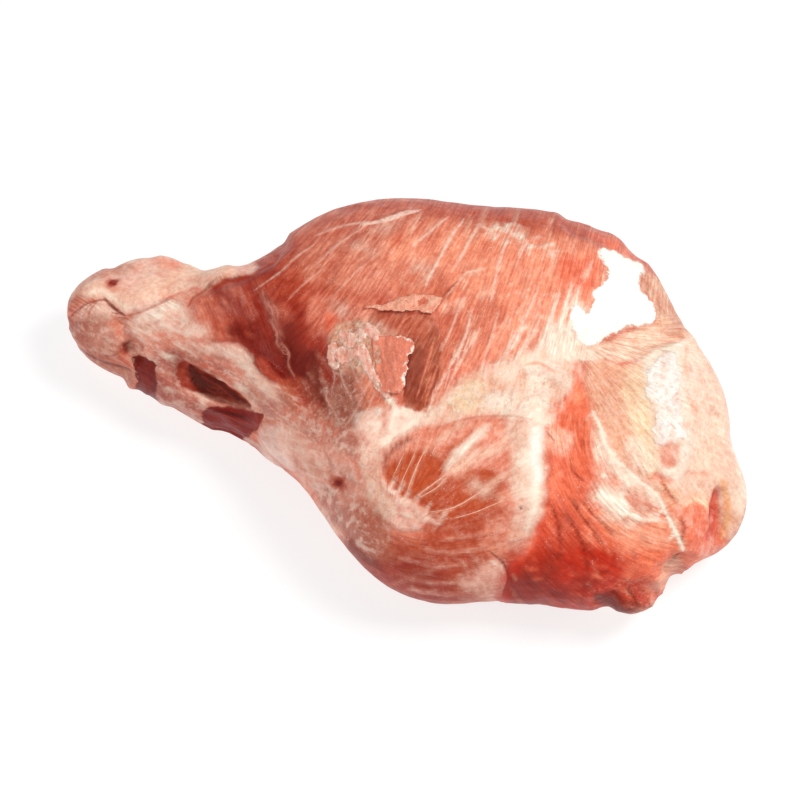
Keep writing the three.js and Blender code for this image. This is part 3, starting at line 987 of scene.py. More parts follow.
# Each pale wrinkle gets a sunk dark line just below it: painted shade under the fold.
for route in LOWER_WRINKLES:
    stroke(FILM_PINK, route, 3.0, 2.5, 0.6, lift=0.5)
    stroke(LEAN_DEEP, spots(route) + (0, 4), 2, 2, 0.5, lift=-0.5)
streak(LEAN_DEEP, "388,474 402,487 420,498 438,512", 1.0, 0.45)
# Painted shadow along the right edge of the lower lobe.
streak(LEAN_DARK, "490,552 503,563 508,578 503,592", 1.1, 0.75, lift=-0.8)
wash(LEAN_DARK, "519,508 522,508 522,511 519,511", 1.6, 0.9)
print("marks", mark_count)


# %% [markdown]
# ## The knee
# Over the knee lies grey-pink film with one small blood vessel, cut across.

# %% Knee
KNEE = "296,430 330,420 360,436 380,452 378,480 388,510 384,548 364,566 340,530 318,496 300,474"
wash(FILM_PINK, KNEE, 10, grain=0.2, fatty=0.7)
wash(HEEL_PALE, "296,432 316,428 332,448 340,470 326,486 308,468", 8, 0.4, fatty=0.4)
wash(FILM_GREY, "316,484 336,494 352,518 374,548 364,562 340,532 318,504", 9, 0.8, fatty=0.8)
wash(MEAT_GREY, "318,410 346,424 360,440 350,456 334,446 320,430", 8, 0.7)
wash(CREAM, "362,446 378,450 380,480 396,506 382,516 366,496", 7, 0.8, torn=0.2)
scatter(TENDON, KNEE, 34, 8, 0.5, lift=0.5, way=1.0, seed=81)
scatter(FILM_GREY, KNEE, 30, 8, 0.6, lift=-0.5, way=1.0, seed=82)
scatter(LEAN_PINK, KNEE, 24, 8, 0.5, lift=-0.3, way=1.1, seed=83)
wash(BROWN, "350,506 374,504 392,528 398,562 372,566 356,536", 10, 0.7)
# Painted shade along the lower edge of the knee, where it turns away from the lamp.
stroke(LEAN_DEEP, "344,540 362,564 388,584", 16, 6, 0.85, grain=0.4)
stroke(HEEL_PALE, "318,508 328,522 338,534", 8, 5, 0.7)
stroke(LEAN_DARK, "348,540 360,554 381,568", 7, 3, 0.85)
wash(LEAN_ROSE, "304,418 328,418 336,438 314,444", 6, 0.6)
wash(LEAN_WARM, "329,478 337,475 345,480 344,490 335,493 328,487", 4, 0.8, lift=-1.6)
wash(LEAN_DARK, "333,480 340,480 341,487 334,487", 2.2, 0.95)
print("marks", mark_count)


# %% [markdown]
# ## The flank and the rump
# Right of the knuckle the bare flank is orange above and deep red below, crossed by
# folds; painted shade darkens its lower edge and its folds. The rump behind it is
# covered by peach fat and film, with white highlights painted on the fat.

# %% Flank washes
FLANK = """548,436 556,420 562,398 576,386 592,396 600,430 608,452 628,478 652,494 668,520
    684,552 676,582 630,596 584,606 530,606 508,590 522,556 540,520 552,470"""
wash(FLANK_ORANGE, FLANK, 7, grain=0.7)
# The lower flank and its bottom edge: deep red meat darkened by painted shade.
wash(FLANK_RED_AND_SHADE, "506,562 530,552 560,548 596,546 632,566 616,590 598,618 540,626 500,616", 16)
wash(FLANK_RED, "562,440 572,432 586,440 594,470 588,500 564,512 556,490", 9, 0.55)
wash(FLANK_RED_AND_SHADE, "548,504 562,500 576,514 586,538 574,556 544,558 530,548", 10, 0.45)
wash(LEAN_DEEP, "522,566 538,544 552,548 558,568 540,584 516,600 508,586", 8, 0.7)
wash(LEAN_WINE, "508,590 528,576 560,578 604,582 598,602 560,610 516,610", 12, 0.8)
scatter(LEAN_DARK, "520,560 580,556 610,576 596,600 520,604", 22, 7, 0.5, lift=-0.8, way=0.2,
        seed=101)
scatter(FLANK_RED, "530,560 600,556 620,576 596,592 530,590", 16, 6, 0.6, lift=0.6, way=0.2,
        seed=102)
wash(PEACH, "604,516 640,518 668,528 674,546 640,548 610,540", 10, 0.45)
wash(CREAM, "548,432 562,430 572,440 566,456 552,452", 6, 0.6)
wash(PEACH_PALE, "592,424 606,442 628,460 656,478 666,500 652,520 626,524 604,518 592,498 598,468",
     12, 0.95, fatty=0.4)
wash(LEAN_PINK, "630,488 644,492 660,508 662,516 644,514 630,504", 6, 0.75)
wash(LEAN_PINK, "604,456 616,464 620,478 606,476", 5, 0.6)
wash(FAT_WHITE, "620,468 634,466 656,482 652,490 634,486 620,478", 6, 0.7, fatty=0.3)
scatter(LEAN_WINE, FLANK, 26, 7, 0.45, lift=-0.5, way=1.0, seed=91)
scatter(PEACH, FLANK, 30, 6, 0.4, lift=0.3, way=1.0, seed=92)
print("washes", mark_count["wash"])

# %% Flank folds
# Dark lines sunk along the folds: painted shade in the folds.
streak(LEAN_WINE, "547,433 554,441", 1.2, 0.6, lift=-0.6)
streak(LEAN_WINE, "570,462 572,471 583,481", 1.3, 0.6, lift=-0.8)
FLANK_CREASES = [
    "564,512 579,536 596,562", "570,498 582,516 600,542", "582,500 596,518 616,536",
    "548,500 556,520 560,548", "576,530 584,552 588,574",
]
for route in FLANK_CREASES:
    stroke(LEAN_DARK, route, 3, 2.5, 0.75, lift=-1.4)
scatter(CREAM, "543,408 560,404 564,430 548,440", 10, 4, 0.8, lift=0.4, seed=94)
scatter(CREAM, "586,412 600,410 616,458 604,466", 14, 5, 0.6, way=1.1, seed=95)
print("marks", mark_count)

# %% Rump washes
RUMP = """588,350 612,346 650,350 690,342 716,356 730,390 744,440 746,490 740,530 712,558
    690,562 676,530 660,500 628,474 606,450 590,414 586,380"""
RUMP_WHITE = "646,356 674,346 690,358 692,400 690,448 680,476 660,474 654,430 646,392"
wash(PEACH, RUMP, 9, grain=0.5, fatty=0.45)
wash(PEACH_PALE, "688,352 714,356 734,396 748,450 746,510 720,500 690,494 664,480 676,450 696,420 "
     "688,384", 12, 0.9, fatty=0.15, grain=0.2)
wash(CREAM_YELLOW, "624,372 644,366 654,392 654,440 640,456 626,420", 9, 0.7)
wash(FAT_WHITE, RUMP_WHITE, 7, 0.95, fatty=0.7, grain=0.2, lift=0.6)
# A pure white patch on the rump fat: a painted highlight.
patch(FAT_WITH_PAINTED_HIGHLIGHT, "652,362 670,354 678,364 679,392 680,424 686,446 676,440 668,446 656,440 652,410 "
      "646,384", strength=0.85, lift=0.5, ragged=3.0)
scatter(PEACH, RUMP_WHITE, 24, 7, 0.8, lift=-0.6, way=1.4, seed=96)
scatter(LEAN_PINK, RUMP_WHITE, 10, 5, 0.6, lift=-0.8, way=1.4, seed=97)
wash(LEAN_PINK, "660,446 670,442 678,452 675,466 664,468 657,458", 3.5, 0.8, lift=-1.5)
stroke(FAT_WHITE, "656,466 664,473 678,470", 4, 2.5, 0.9, lift=0.8)
wash(CREAM, "590,350 610,340 632,330 650,322 674,336 692,338 670,352 640,362 612,364 594,358", 5,
     grain=0.8, fatty=0.2)
wash(CREAM_YELLOW, "642,400 652,402 654,440 658,468 650,476 640,458 638,424", 5, 0.7)
wash(FAT_WHITE, "626,440 640,436 650,456 654,474 640,474 628,462", 7, 0.6)
stroke(PEACH_PALE, "700,480 720,478 738,488 738,506", 14, 6, 0.8)
stroke(FLANK_ORANGE, "656,474 664,486 672,504 680,520", 9, 4, 0.8, lift=-0.8)
wash(FLANK_RED, "688,520 712,514 720,536 706,552 688,548", 6, 0.9)
wash(FLANK_ORANGE, "681,508 694,502 708,510 711,528 702,545 687,543 679,526", 5, 0.85, lift=1.2)
wash(FLANK_ORANGE, "680,548 706,543 726,534 728,556 700,572 680,566", 6)
print("washes", mark_count["wash"])

# %% Rump fat with painted highlights, and folds
# A patch of white fat whose pure white core is a painted highlight.
FAT_AND_HIGHLIGHT_PATCH = """597,252 614,248 626,256 643,265 640,276 639,286 648,300 655,316 650,322 632,326
    603,339 582,346 574,334 572,312 579,306 585,313 594,308 592,294 604,282 606,268 600,261"""
STRIP = "642,275 650,273 668,291 676,309 688,332 685,341 672,341 657,328 656,314 650,299 642,285"
# White fat, and over it a pure white painted highlight.
wash(FAT_WHITE, FAT_AND_HIGHLIGHT_PATCH, 5, 0.6, grain=0.0)
wash(FAT_WHITE, "540,336 560,322 586,344 600,360 572,362 544,354", 5, 0.8)
patch(FAT_WITH_PAINTED_HIGHLIGHT, FAT_AND_HIGHLIGHT_PATCH, lift=0.8, fatty=0.0, grain=0.0, ragged=2.8)
wash(PEACH, STRIP, 3, 0.95, fatty=0.5, torn=0.2)
stroke(FAN_RED, "654,292 661,300 668,312", 3, 3, 0.6, lift=-0.5)
stroke(SCRAP_RED, "604,360 618,364 630,363 642,360", 3, 2, 0.8, lift=-1.4)
stroke(FAT_WHITE, "636,362 652,357 670,350 692,341", 7, 3, 0.95, lift=0.9, fatty=0.4)
RIDGE = spots("""593,414 600,428 604,443 609,452 614,460 622,466 631,475 640,483 652,491 659,500
    664,510 669,520 676,534 683,550""")
BRIGHT_FILM = "598,462 622,472 650,492 664,516 630,520 600,516 594,490"
scatter(FAT_WHITE, BRIGHT_FILM, 26, 5, 0.7, lift=0.4, way=0.4, seed=93, fatty=0.5)
scatter(FLANK_ORANGE, BRIGHT_FILM, 34, 6, 0.55, lift=-0.4, way=0.6, seed=98)
scatter(LEAN_ROSE, "584,440 600,450 604,520 586,510", 14, 6, 0.5, way=1.3, seed=99)
stroke(FAT_WHITE, RIDGE[2:10] + (-5, 3), 12, 6, 0.55)
stroke(LEAN_WINE, RIDGE[4:10] + (4, -7), 2, 3, 0.3, lift=-0.8)
RIDGE_WIDTHS = itertools.cycle((2.5, 5.5, 3.5, 7.0, 4.0))
for first, second, width in zip(RIDGE, RIDGE[1:], RIDGE_WIDTHS):
    stroke(FAT_WHITE, [first, second], width, 1.6, 1.0, lift=0.5, fatty=0.1)
for first, second in zip(RIDGE[::2], RIDGE[1::2]):
    stroke(FAT_WHITE, [first + (-8, 6), first, second], 2, 1.6, 0.8, lift=0.4)
streak(FAT_WHITE, RIDGE, 1.3, 0.9, taper=False)
stroke(FAT_WHITE, "627,514 643,519 669,521", 3, 2.0, 0.9, lift=0.8)
# White fat on the flank, with a painted highlight on it.
wash(FAT_WHITE, "600,490 610,487 621,495 628,506 622,516 608,512 599,502", 4, 0.95, fatty=0.2,
     lift=0.6)
stroke(LEAN_PINK, "684,473 698,474 712,475", 2.5, 2.5, 0.7, lift=-0.6)
stroke(FLANK_ORANGE, "652,474 664,480 674,482", 3, 2.0, 0.9, lift=-1.0)
RUMP_FOLDS = ["654,480 664,492 676,510", "662,480 672,492 682,504"]
for route in RUMP_FOLDS:
    stroke(CREAM_YELLOW, route, 2.5, 2.0, 0.8, lift=0.6)
stroke(LEAN_DEEP, "658,478 668,492 678,506", 2, 2.0, 0.6, lift=-0.8)
stroke(SCRAP_RED, "716,488 714,506 712,524 706,542", 9, 2.5, 1.0, lift=-1.4)
stroke(LEAN_DEEP, "714,494 712,510 709,526", 2, 1.6, 0.8, lift=-0.8)
stroke(LIP_YELLOW, "722,480 726,500 727,518 721,538", 7, 1.8, 1.0, lift=0.5)
stroke(CREAM_YELLOW, "680,508 694,500 708,506", 3, 2.2, 0.8, lift=0.5)
stroke(LEAN_DEEP, "680,518 683,528 681,540", 4, 2.2, 0.8, lift=-0.6)
wash(SCRAP_RED, "590,592 612,582 650,580 660,596 648,618 616,620 592,610", 6, 0.95, torn=0.3)
# Deep red of the scrap, darkened by painted shade on its underside.
wash(LEAN_DARK, "594,594 612,591 632,597 640,612 616,616 598,606", 4, 0.9)
scatter(LEAN_ROSE, "602,594 634,598 634,608 606,606", 9, 3, 0.7, lift=0.6, way=0.5, seed=100)
# Orange and peach strokes on the scrap's lumps: painted highlights.
stroke(FLANK_ORANGE, "642,584 650,592 650,606", 7, 2.5, 0.95, lift=1.0)
stroke(PEACH, "648,596 650,604", 3, 2.0, 0.8, lift=0.6)
stroke(FLANK_ORANGE, "618,588 626,590 630,596", 4, 2.5, 0.8, lift=1.0)
# A black line in the scrap's crevice and a dark line where it meets the flank: painted shadow.
stroke(PAINTED_SHADOW_BLACK, "627,588 634,597 638,608", 2.5, 2.0, 0.8, lift=-1.2)
stroke(LEAN_DARK, "594,602 606,594 618,590", 2.5, 2.5, 0.7, lift=-0.8)
# A dark line in the notch between the scrap and the rump: painted shade in the crease.
stroke(LEAN_DARK, "668,578 680,566 686,556", 3, 2.5, 0.8, lift=-2.0)
print("marks", mark_count)


# %% [markdown]
# ## Pale touches and painted shade
# A real leg is never one tone from seam to seam. A few wide, faint strokes close the
# colouring: pale strokes lighten film and fat, and dark strokes add painted shade where
# the leg bends away and in its hollows.

# %% Pale touches and painted shade
TOUCH_SOFT = 9
# Pale strokes lighten film and fat; the dark strokes are painted shade on bends and in hollows.
PALE_TOUCHES_AND_SHADE = [
    (FAT_WHITE, "88,308 112,316", 14, 0.35),
    (FAT_WHITE, "168,304 194,316", 12, 0.4),
    (FAT_WHITE, "188,326 208,336", 11, 0.5),
    (FAT_WHITE, "372,322 390,336", 11, 0.35),
    (FAT_WHITE, "470,482 492,494", 12, 0.35),
    (LEAN_ROSE, "270,302 290,320", 14, 0.5),
    (FAT_WHITE, "350,246 374,252", 12, 0.3),
    (FAT_WHITE, "410,266 434,272", 12, 0.25),
    (FAT_WHITE, "330,306 350,314", 12, 0.25),
    (FAT_WHITE, "370,232 396,226", 10, 0.25),
    (FAT_WHITE, "292,446 308,454", 10, 0.4),
    (FAT_WHITE, "130,328 150,334", 11, 0.35),
    (FAT_WHITE, "152,268 172,274", 11, 0.3),
    (PEACH, "652,588 682,574", 10, 0.7),
    (PEACH_PALE, "672,576 686,566", 9, 0.7),
    (FAN_ORANGE, "632,612 648,606", 9, 0.6),
    (FAN_RED, "450,366 472,376", 12, 0.35),
    (BROWN_DEEP, "348,544 374,560", 12, 0.6),
    (BROWN_DEEP, "404,570 436,576", 11, 0.5),
    (FLANK_RED, "540,518 538,552", 11, 0.6),
    (FLANK_RED_AND_SHADE, "544,522 540,560", 12, 0.7),
    (FLANK_RED, "626,566 650,572", 11, 0.5),
    (SCRAP_RED, "628,568 652,576", 11, 0.3),
    (FLANK_RED, "714,506 718,530", 7, 0.6),
    (LEAN_DEEP, "314,258 356,240 404,224", 10, 0.35),
    (HEEL_BROWN, "306,466 326,474", 10, 0.35),
    (LEAN_WINE, "96,362 112,372", 10, 0.3),
    (LEAN_WINE, "108,346 130,354", 10, 0.25),
    (LEAN_DEEP, "264,404 266,430", 7, 0.55),
    (LEAN_DARK, "544,590 572,594", 10, 0.4),
    (LEAN_DARK, "516,574 542,578", 12, 0.25),
    (HOLLOW_RED, "142,366 148,396", 9, 0.4),
    (FLANK_RED_AND_SHADE, "560,588 608,590", 12, 0.4),
]
for colour, route, width, strength in PALE_TOUCHES_AND_SHADE:
    stroke(colour, route, width, TOUCH_SOFT, strength)
print("touches", len(PALE_TOUCHES_AND_SHADE))

# %% [markdown]
# ## Outline and size
# Broad, soft swells and hollows bring the seen outline closer to the real one. The skin
# with all its relief is then held inside the box of the CAD part, and the side that
# lies on the table stays flat.

# %% Swells and hollows along the outline
SHAPE_SOFT = 11
SHAPES = [
    (-3.6, "104,256 120,250 150,248 162,262 140,274 110,274"),
    (-3.6, "566,212 600,224 642,250 634,268 596,246 564,230"),
    (-4.0, "236,262 262,242 282,232 288,250 264,264 244,272"),
    (-4.0, "220,426 240,430 262,442 258,466 222,452"),
    (2.5, "250,450 276,464 300,484 290,500 256,476"),
    (3.5, "128,382 146,390 164,398 160,414 140,406 124,394"),
    (-3.5, "596,602 618,606 634,612 628,626 602,622"),
    (-9.0, "664,566 684,556 702,560 696,584 672,594"),
    (-3.0, "74,344 100,362 124,368 120,384 82,368"),
    (2.6, "188,262 206,262 222,268 212,284 192,278"),
    (3.0, "500,598 540,602 562,612 522,620"),
    (4.0, "618,598 650,598 656,616 624,622"),
    (2.2, "672,316 708,356 700,368 666,330"),
]
active = seen_chart(OUTLINE_FACING)
for lift, outline in SHAPES:
    wash(None, outline, SHAPE_SOFT, lift=lift)
active = seen_side
print("shapes", len(SHAPES))

# %% Relief on the skin
SMALL_WAVE_MM = 0.35
WAVE_SIZE_MM = 9.0
TABLE_EDGE_MM = (0.5, 4.0)
box_low = np.array(cad_box[0]) * METRE
box_high = np.array(cad_box[1]) * METRE

lift_mm += SMALL_WAVE_MM * cloud(skin_mm, WAVE_SIZE_MM, 31) * (0.4 + 0.6 * surface["grain"])
on_table = 1 - ramp(skin_mm[:, 2], *TABLE_EDGE_MM)
moved_mm = skin_mm + outward * (lift_mm * (1 - on_table))[:, None]
low, high = moved_mm.min(axis=0), moved_mm.max(axis=0)
moved_mm = box_low + (moved_mm - low) * (box_high - box_low) / (high - low)
skin_mesh.vertices.foreach_set("co", (moved_mm / METRE).ravel())
skin_mesh.update()
print("stretch", np.round((box_high - box_low) / (high - low), 4))

# %% A way to hit the skin from the camera
skin_tree = BVHTree.FromPolygons(
    [Vector(row) for row in moved_mm / METRE],
    [list(face.vertices) for face in skin_mesh.polygons],
)
normals_now = numbers(skin_mesh.vertex_normals, "vector")


def skin_under(spot):
    """The skin's place and outward direction under a chart point."""
    start, way = sight_ray(spot)
    place, _, face, _ = skin_tree.ray_cast(start, way)
    if place is None:
        return None, None
    corners = list(skin_mesh.polygons[face].vertices)
    return place, Vector(normals_now[corners].mean(axis=0)).normalized()


print("middle of the leg", skin_under((400, 400))[0])


# %% [markdown]
# ## Fibre direction
# Meat reads as meat when its fibres run the right way. Each muscle gets a direction:
# rays from a far pole on the thigh and on the knuckle, arcs on the flank, straight
# lines on the shank. The numbers are stored on the points, and the material stretches
# its noise along them. Two sets are kept, so that one can fade into the other.

# %% Fibre sets
FAN_POLE = (680, -150)
KNUCKLE_POLE = (385, 545)
RUMP_POLE = (560, 330)
FLANK_CENTRE = (690, 430)
LOWER_CENTRE = (450, 400)
SHANK_WAY = (0.87, 0.50)
CALF_WAY = (0.39, 0.92)
front_chart = on_chart(skin_mm)


def rays(pole, facing, round_radius):
    """Across and along for fibres that spread from a pole past a facing point."""
    pole = np.array(pole)
    ahead, away = np.array(facing) - pole, front_chart - pole
    angle = np.arctan2(ahead[0] * away[:, 1] - ahead[1] * away[:, 0], away @ ahead)
    return np.stack([angle * round_radius, np.hypot(*away.T)], axis=1)


def arcs(centre, facing, round_radius):
    """Across and along for fibres that run round a centre."""
    return rays(centre, facing, round_radius)[:, ::-1]


def lines(way):
    """Across and along for straight fibres."""
    way = np.array(way)
    return np.stack([front_chart @ np.array([-way[1], way[0]]), front_chart @ way], axis=1)


def region(outline, soft):
    """How much each point of the skin belongs to a region."""
    depth = depth_inside(front_chart, smooth_route(outline, closed=True))
    return ramp(depth, -soft, soft)


knuckle_share = region(
    "372,470 386,440 430,424 530,414 550,470 540,528 500,522 440,528 404,510 380,492", 6.0)
lower_share = region("372,530 440,534 500,528 536,540 512,574 492,620 400,620 352,566", 6.0)
calf_share = region("186,305 210,276 256,270 272,300 296,376 286,392 250,360 200,340", 4.0)
rump_share = region(
    "588,346 650,322 700,330 750,400 760,520 712,562 676,520 620,470 586,410", 8.0)
flank_share = region(
    "544,420 600,420 624,472 670,500 700,560 660,640 500,640 500,590 540,520", 8.0)
shank_share = region(
    "40,240 260,250 250,276 190,300 200,336 250,350 300,392 330,480 300,480 40,380", 4.0)

grain_a = rays(FAN_POLE, facing=(450, 300), round_radius=450.0)
FIRST_SET = [
    (flank_share, arcs(FLANK_CENTRE, facing=(580, 520), round_radius=120.0)),
    (shank_share, lines(SHANK_WAY)),
    (lower_share, arcs(LOWER_CENTRE, facing=(450, 560), round_radius=150.0)),
]
for share, fibres in FIRST_SET:
    grain_a[share > 0.5] = fibres[share > 0.5]
grain_b = rays(RUMP_POLE, facing=(670, 430), round_radius=150.0)
SECOND_SET = [
    (knuckle_share, rays(KNUCKLE_POLE, facing=(480, 460), round_radius=90.0)),
    (calf_share, lines(CALF_WAY)),
]
for share, fibres in SECOND_SET:
    grain_b[share > 0] = fibres[share > 0]
use_b = np.maximum(np.maximum(knuckle_share, calf_share), rump_share)
directed = np.ones(count)
for share in (flank_share, shank_share, lower_share):
    directed *= 1 - 4 * share * (1 - share)
pole_reach = np.hypot(*(front_chart - np.array(KNUCKLE_POLE)).T)
directed *= np.maximum(1 - knuckle_share, ramp(pole_reach, 24.0, 60.0))
surface["grain"] *= directed
print("second set used on", round(float((use_b > 0.5).mean()), 2))


# %% Store the marks on the mesh
def store(name, kind, values):
    """Keep one value for every point of the skin."""
    layer = skin_mesh.attributes.new(name, kind, "POINT")
    key = {"FLOAT": "value", "FLOAT_VECTOR": "vector", "FLOAT_COLOR": "color"}[kind]
    layer.data.foreach_set(key, np.ascontiguousarray(values, dtype=np.float32).ravel())


def with_depth(flat):
    """Chart values in millimetres as vectors."""
    scaled = flat * MM_PER_CHART_UNIT
    return np.column_stack([scaled, np.zeros(len(scaled))])


store("tint", "FLOAT_COLOR", np.column_stack([tint, np.ones(count)]))
store("look", "FLOAT_COLOR", np.column_stack([
    use_b, surface["grain"], surface["fatty"], seen_side.share,
]))
store("torn", "FLOAT", surface["torn"])
store("directed", "FLOAT", directed)
store("grain_a", "FLOAT_VECTOR", with_depth(grain_a))
store("grain_b", "FLOAT_VECTOR", with_depth(grain_b))
store("patch_edge", "FLOAT", patch_edge)
store("patch_colour", "FLOAT_COLOR", patch_colour)
store("streak_place", "FLOAT_VECTOR", streak_place)
store("streak_colour", "FLOAT_COLOR", streak_colour)
print("layers", [layer.name for layer in skin_mesh.attributes][-8:])


# %% [markdown]
# ## A small language for materials
# A material is a graph of nodes. These helpers add a node, feed its sockets and hand
# back its result, so that the graphs below read like sentences. Sockets that share one
# name are reached by their number.

# %% Node helpers
BUMP_STRENGTH = 0.9


class Graph:
    """Adds linked nodes to one tree."""

    def __init__(self, tree):
        self.tree = tree

    def feed(self, socket, value):
        """Link a socket to another one, or give it a constant."""
        if isinstance(value, bpy.types.NodeSocket):
            self.tree.links.new(value, socket)
        else:
            socket.default_value = value

    def add(self, kind, inputs=(), **settings):
        """A new node with its settings and inputs."""
        made = self.tree.nodes.new(kind)
        for key, value in settings.items():
            setattr(made, key, value)
        for key, value in dict(inputs).items():
            self.feed(made.inputs[key], value)
        return made

    def layer(self, name):
        """A layer stored on the mesh."""
        return self.add("ShaderNodeAttribute", attribute_name=name)

    def maths(self, operation, first, second=0.0):
        """One arithmetic step."""
        made = self.add("ShaderNodeMath", {0: first, 1: second}, operation=operation)
        return made.outputs[0]

    def times(self, *parts):
        """The product of all parts."""
        return functools.reduce(functools.partial(self.maths, "MULTIPLY"), parts)

    def plus(self, *parts):
        """The sum of all parts."""
        return functools.reduce(functools.partial(self.maths, "ADD"), parts)

    def between(self, value, low, high, out_low=0.0, out_high=1.0):
        """A smooth ramp from out_low to out_high while the value goes from low to high."""
        made = self.add("ShaderNodeMapRange", {
            0: value, 1: low, 2: high, 3: out_low, 4: out_high,
        }, interpolation_type="SMOOTHSTEP")
        return made.outputs[0]

    def spread(self, noise, out_low, out_high):
        """A noise, which seldom leaves 0.3 to 0.7, spread over another range."""
        return self.between(noise, 0.3, 0.7, out_low, out_high)

    def blend(self, share, first, second, blend_type="MIX"):
        """Two colours, with a share of the second."""
        made = self.add("ShaderNodeMix", data_type="RGBA", blend_type=blend_type)
        self.feed(made.inputs[0], share)
        self.feed(made.inputs[6], first)
        self.feed(made.inputs[7], second)
        return made.outputs[2]

    def mix(self, share, first, second):
        """Two values, with a share of the second."""
        made = self.add("ShaderNodeMix", {0: share, 2: first, 3: second}, data_type="FLOAT")
        return made.outputs[0]

    def noise(self, vector, stretch, detail=3.0, roughness=0.55):
        """Noise with its own fineness along each axis."""
        scaled = self.add("ShaderNodeMapping", {"Vector": vector, "Scale": stretch})
        made = self.add("ShaderNodeTexNoise", {
            "Vector": scaled.outputs[0], "Scale": 1.0, "Detail": detail,
            "Roughness": roughness,
        })
        return made.outputs["Fac"]

    def wobble(self, scale, detail, **where):
        """A noise vector that points every way equally often."""
        made = self.add("ShaderNodeTexNoise", {"Scale": scale, "Detail": detail, **where})
        centred = self.add("ShaderNodeVectorMath", {
            0: made.outputs["Color"], 1: (0.5, 0.5, 0.5),
        }, operation="SUBTRACT")
        return centred.outputs[0]

    def bump(self, shader, height, distance):
        """Let a height shape the light on a shader."""
        made = self.add("ShaderNodeBump", {
            "Strength": BUMP_STRENGTH, "Distance": distance, "Height": height,
        })
        self.feed(shader.inputs["Normal"], made.outputs[0])
        return made.outputs[0]


def opaque(colour):
    """A palette colour for a colour socket."""
    return (*[float(part) for part in colour], 1.0)


def settle(node, values):
    """Set constant values of a node."""
    for name, value in values.items():
        node.inputs[name].default_value = value


def new_material(name):
    """A material, its graph and its shader."""
    material = bpy.data.materials.new(name)
    material.use_nodes = True
    graph = Graph(material.node_tree)
    return material, graph, material.node_tree.nodes["Principled BSDF"]


# %% [markdown]
# ## The flesh
# The stored tint is the ground colour. Fibre noise darkens and reddens it in fine
# lines, crisp patches and streaks lie on top, and a fine mottle breaks up fat and film.
# Wet meat shines in small points, so a thin clear coat follows a fine bump, and a
# little light passes below the surface. Small white specks painted into the colour add
# painted glints.

# %% Flesh: where things are
LOOSE_MM = 3.0

flesh, g, shader = new_material("raw_pork_flesh")
place = g.add("ShaderNodeTexCoord").outputs["Object"]
look = g.layer("look")
use_second, grain_here, fat_here = g.add("ShaderNodeSeparateColor", {
    0: look.outputs["Color"],
}).outputs
seen_here = look.outputs["Alpha"]
torn_here = g.layer("torn").outputs["Fac"]
directed = g.layer("directed").outputs["Fac"]
loose = g.add("ShaderNodeVectorMath", {
    0: g.wobble(90.0, 2.0, Vector=place), 1: (LOOSE_MM / METRE,) * 3, 2: place,
}, operation="MULTIPLY_ADD").outputs[0]

# %% Flesh: noises
def along_grain(stretch, hidden_stretch, detail=3.0):
    """Noise drawn out along the fibres, on the seen side and on the far side."""
    first = g.noise(g.layer("grain_a").outputs["Vector"], stretch, detail)
    second = g.noise(g.layer("grain_b").outputs["Vector"], stretch, detail)
    seen = g.mix(use_second, first, second)
    return g.mix(seen_here, g.noise(place, hidden_stretch, detail), seen)


fibres = along_grain((0.60, 0.07, 1.0), (60.0, 520.0, 520.0))
bands = along_grain((0.15, 0.035, 1.0), (26.0, 130.0, 130.0), 2.0)
hairs = along_grain((0.95, 0.09, 1.0), (80.0, 800.0, 800.0), 1.0)
wrinkles = along_grain((0.34, 0.11, 1.0), (90.0, 260.0, 260.0), 4.0)
film = g.noise(loose, (95.0,) * 3, detail=6.0, roughness=0.66)
torn = g.noise(loose, (280.0,) * 3, detail=6.0, roughness=0.72)
specks = g.noise(place, (1000.0,) * 3, detail=1.0)
clouds = g.noise(place, (46.0,) * 3, detail=3.0)
print("flesh noises ready")

# %% Flesh: colour
EVEN = (0.97, 0.93, 0.90, 1.0)
FIBRE_TONES = (0.80, 0.64, 0.60, 1.0), (1.09, 1.25, 1.28, 1.0)
BAND_TONES = (0.90, 0.80, 0.77, 1.0), (1.05, 1.16, 1.18, 1.0)
CLOUD_TONES = (0.90, 0.80, 0.77, 1.0), (1.05, 1.12, 1.13, 1.0)
GRIT_TONES = (0.86, 0.74, 0.71, 1.0), (1.07, 1.17, 1.18, 1.0)
DARK_MEAT_TONE = (1.03, 0.84, 0.80, 1.0)
HAIR_TONE = (1.12, 1.42, 1.48, 1.0)
FILM_PALE = screen(253, 220, 203)
TORN_DEEP = screen(140, 80, 64)
FILM_DEEP = (0.88, 0.70, 0.65, 1.0)
BARE_LIGHT, FILM_LIGHT = 0.06, 0.26

patch_layer = g.layer("patch_colour")
rough_edge = g.plus(g.layer("patch_edge").outputs["Fac"], g.spread(torn, -1.6, 1.6))
patch_share = g.times(g.between(rough_edge, -1.2, 1.2), patch_layer.outputs["Alpha"])
colour = g.blend(patch_share, g.layer("tint").outputs["Color"], patch_layer.outputs["Color"])
light_here = g.add("ShaderNodeRGBToBW", {0: colour}).outputs[0]
filmed = g.between(light_here, BARE_LIGHT, FILM_LIGHT)
uneven_share = g.between(light_here, 0.72, 0.90, 0.8, 0.1)


def toned(base, noise, tones, share, low=0.32, high=0.68):
    """A colour made deeper and lighter by a noise."""
    return g.blend(share, base, g.blend(g.between(noise, low, high), *tones), "MULTIPLY")


colour = toned(colour, fibres, FIBRE_TONES, grain_here)
colour = toned(colour, bands, BAND_TONES, grain_here)
colour = toned(colour, clouds, CLOUD_TONES, uneven_share)
colour = toned(colour, torn, GRIT_TONES, uneven_share, 0.36, 0.64)
colour = g.blend(g.between(light_here, 0.32, 0.10), colour, DARK_MEAT_TONE, "MULTIPLY")
hair_share = g.times(g.between(hairs, 0.58, 0.72), grain_here)
colour = g.blend(hair_share, colour, HAIR_TONE, "MULTIPLY")

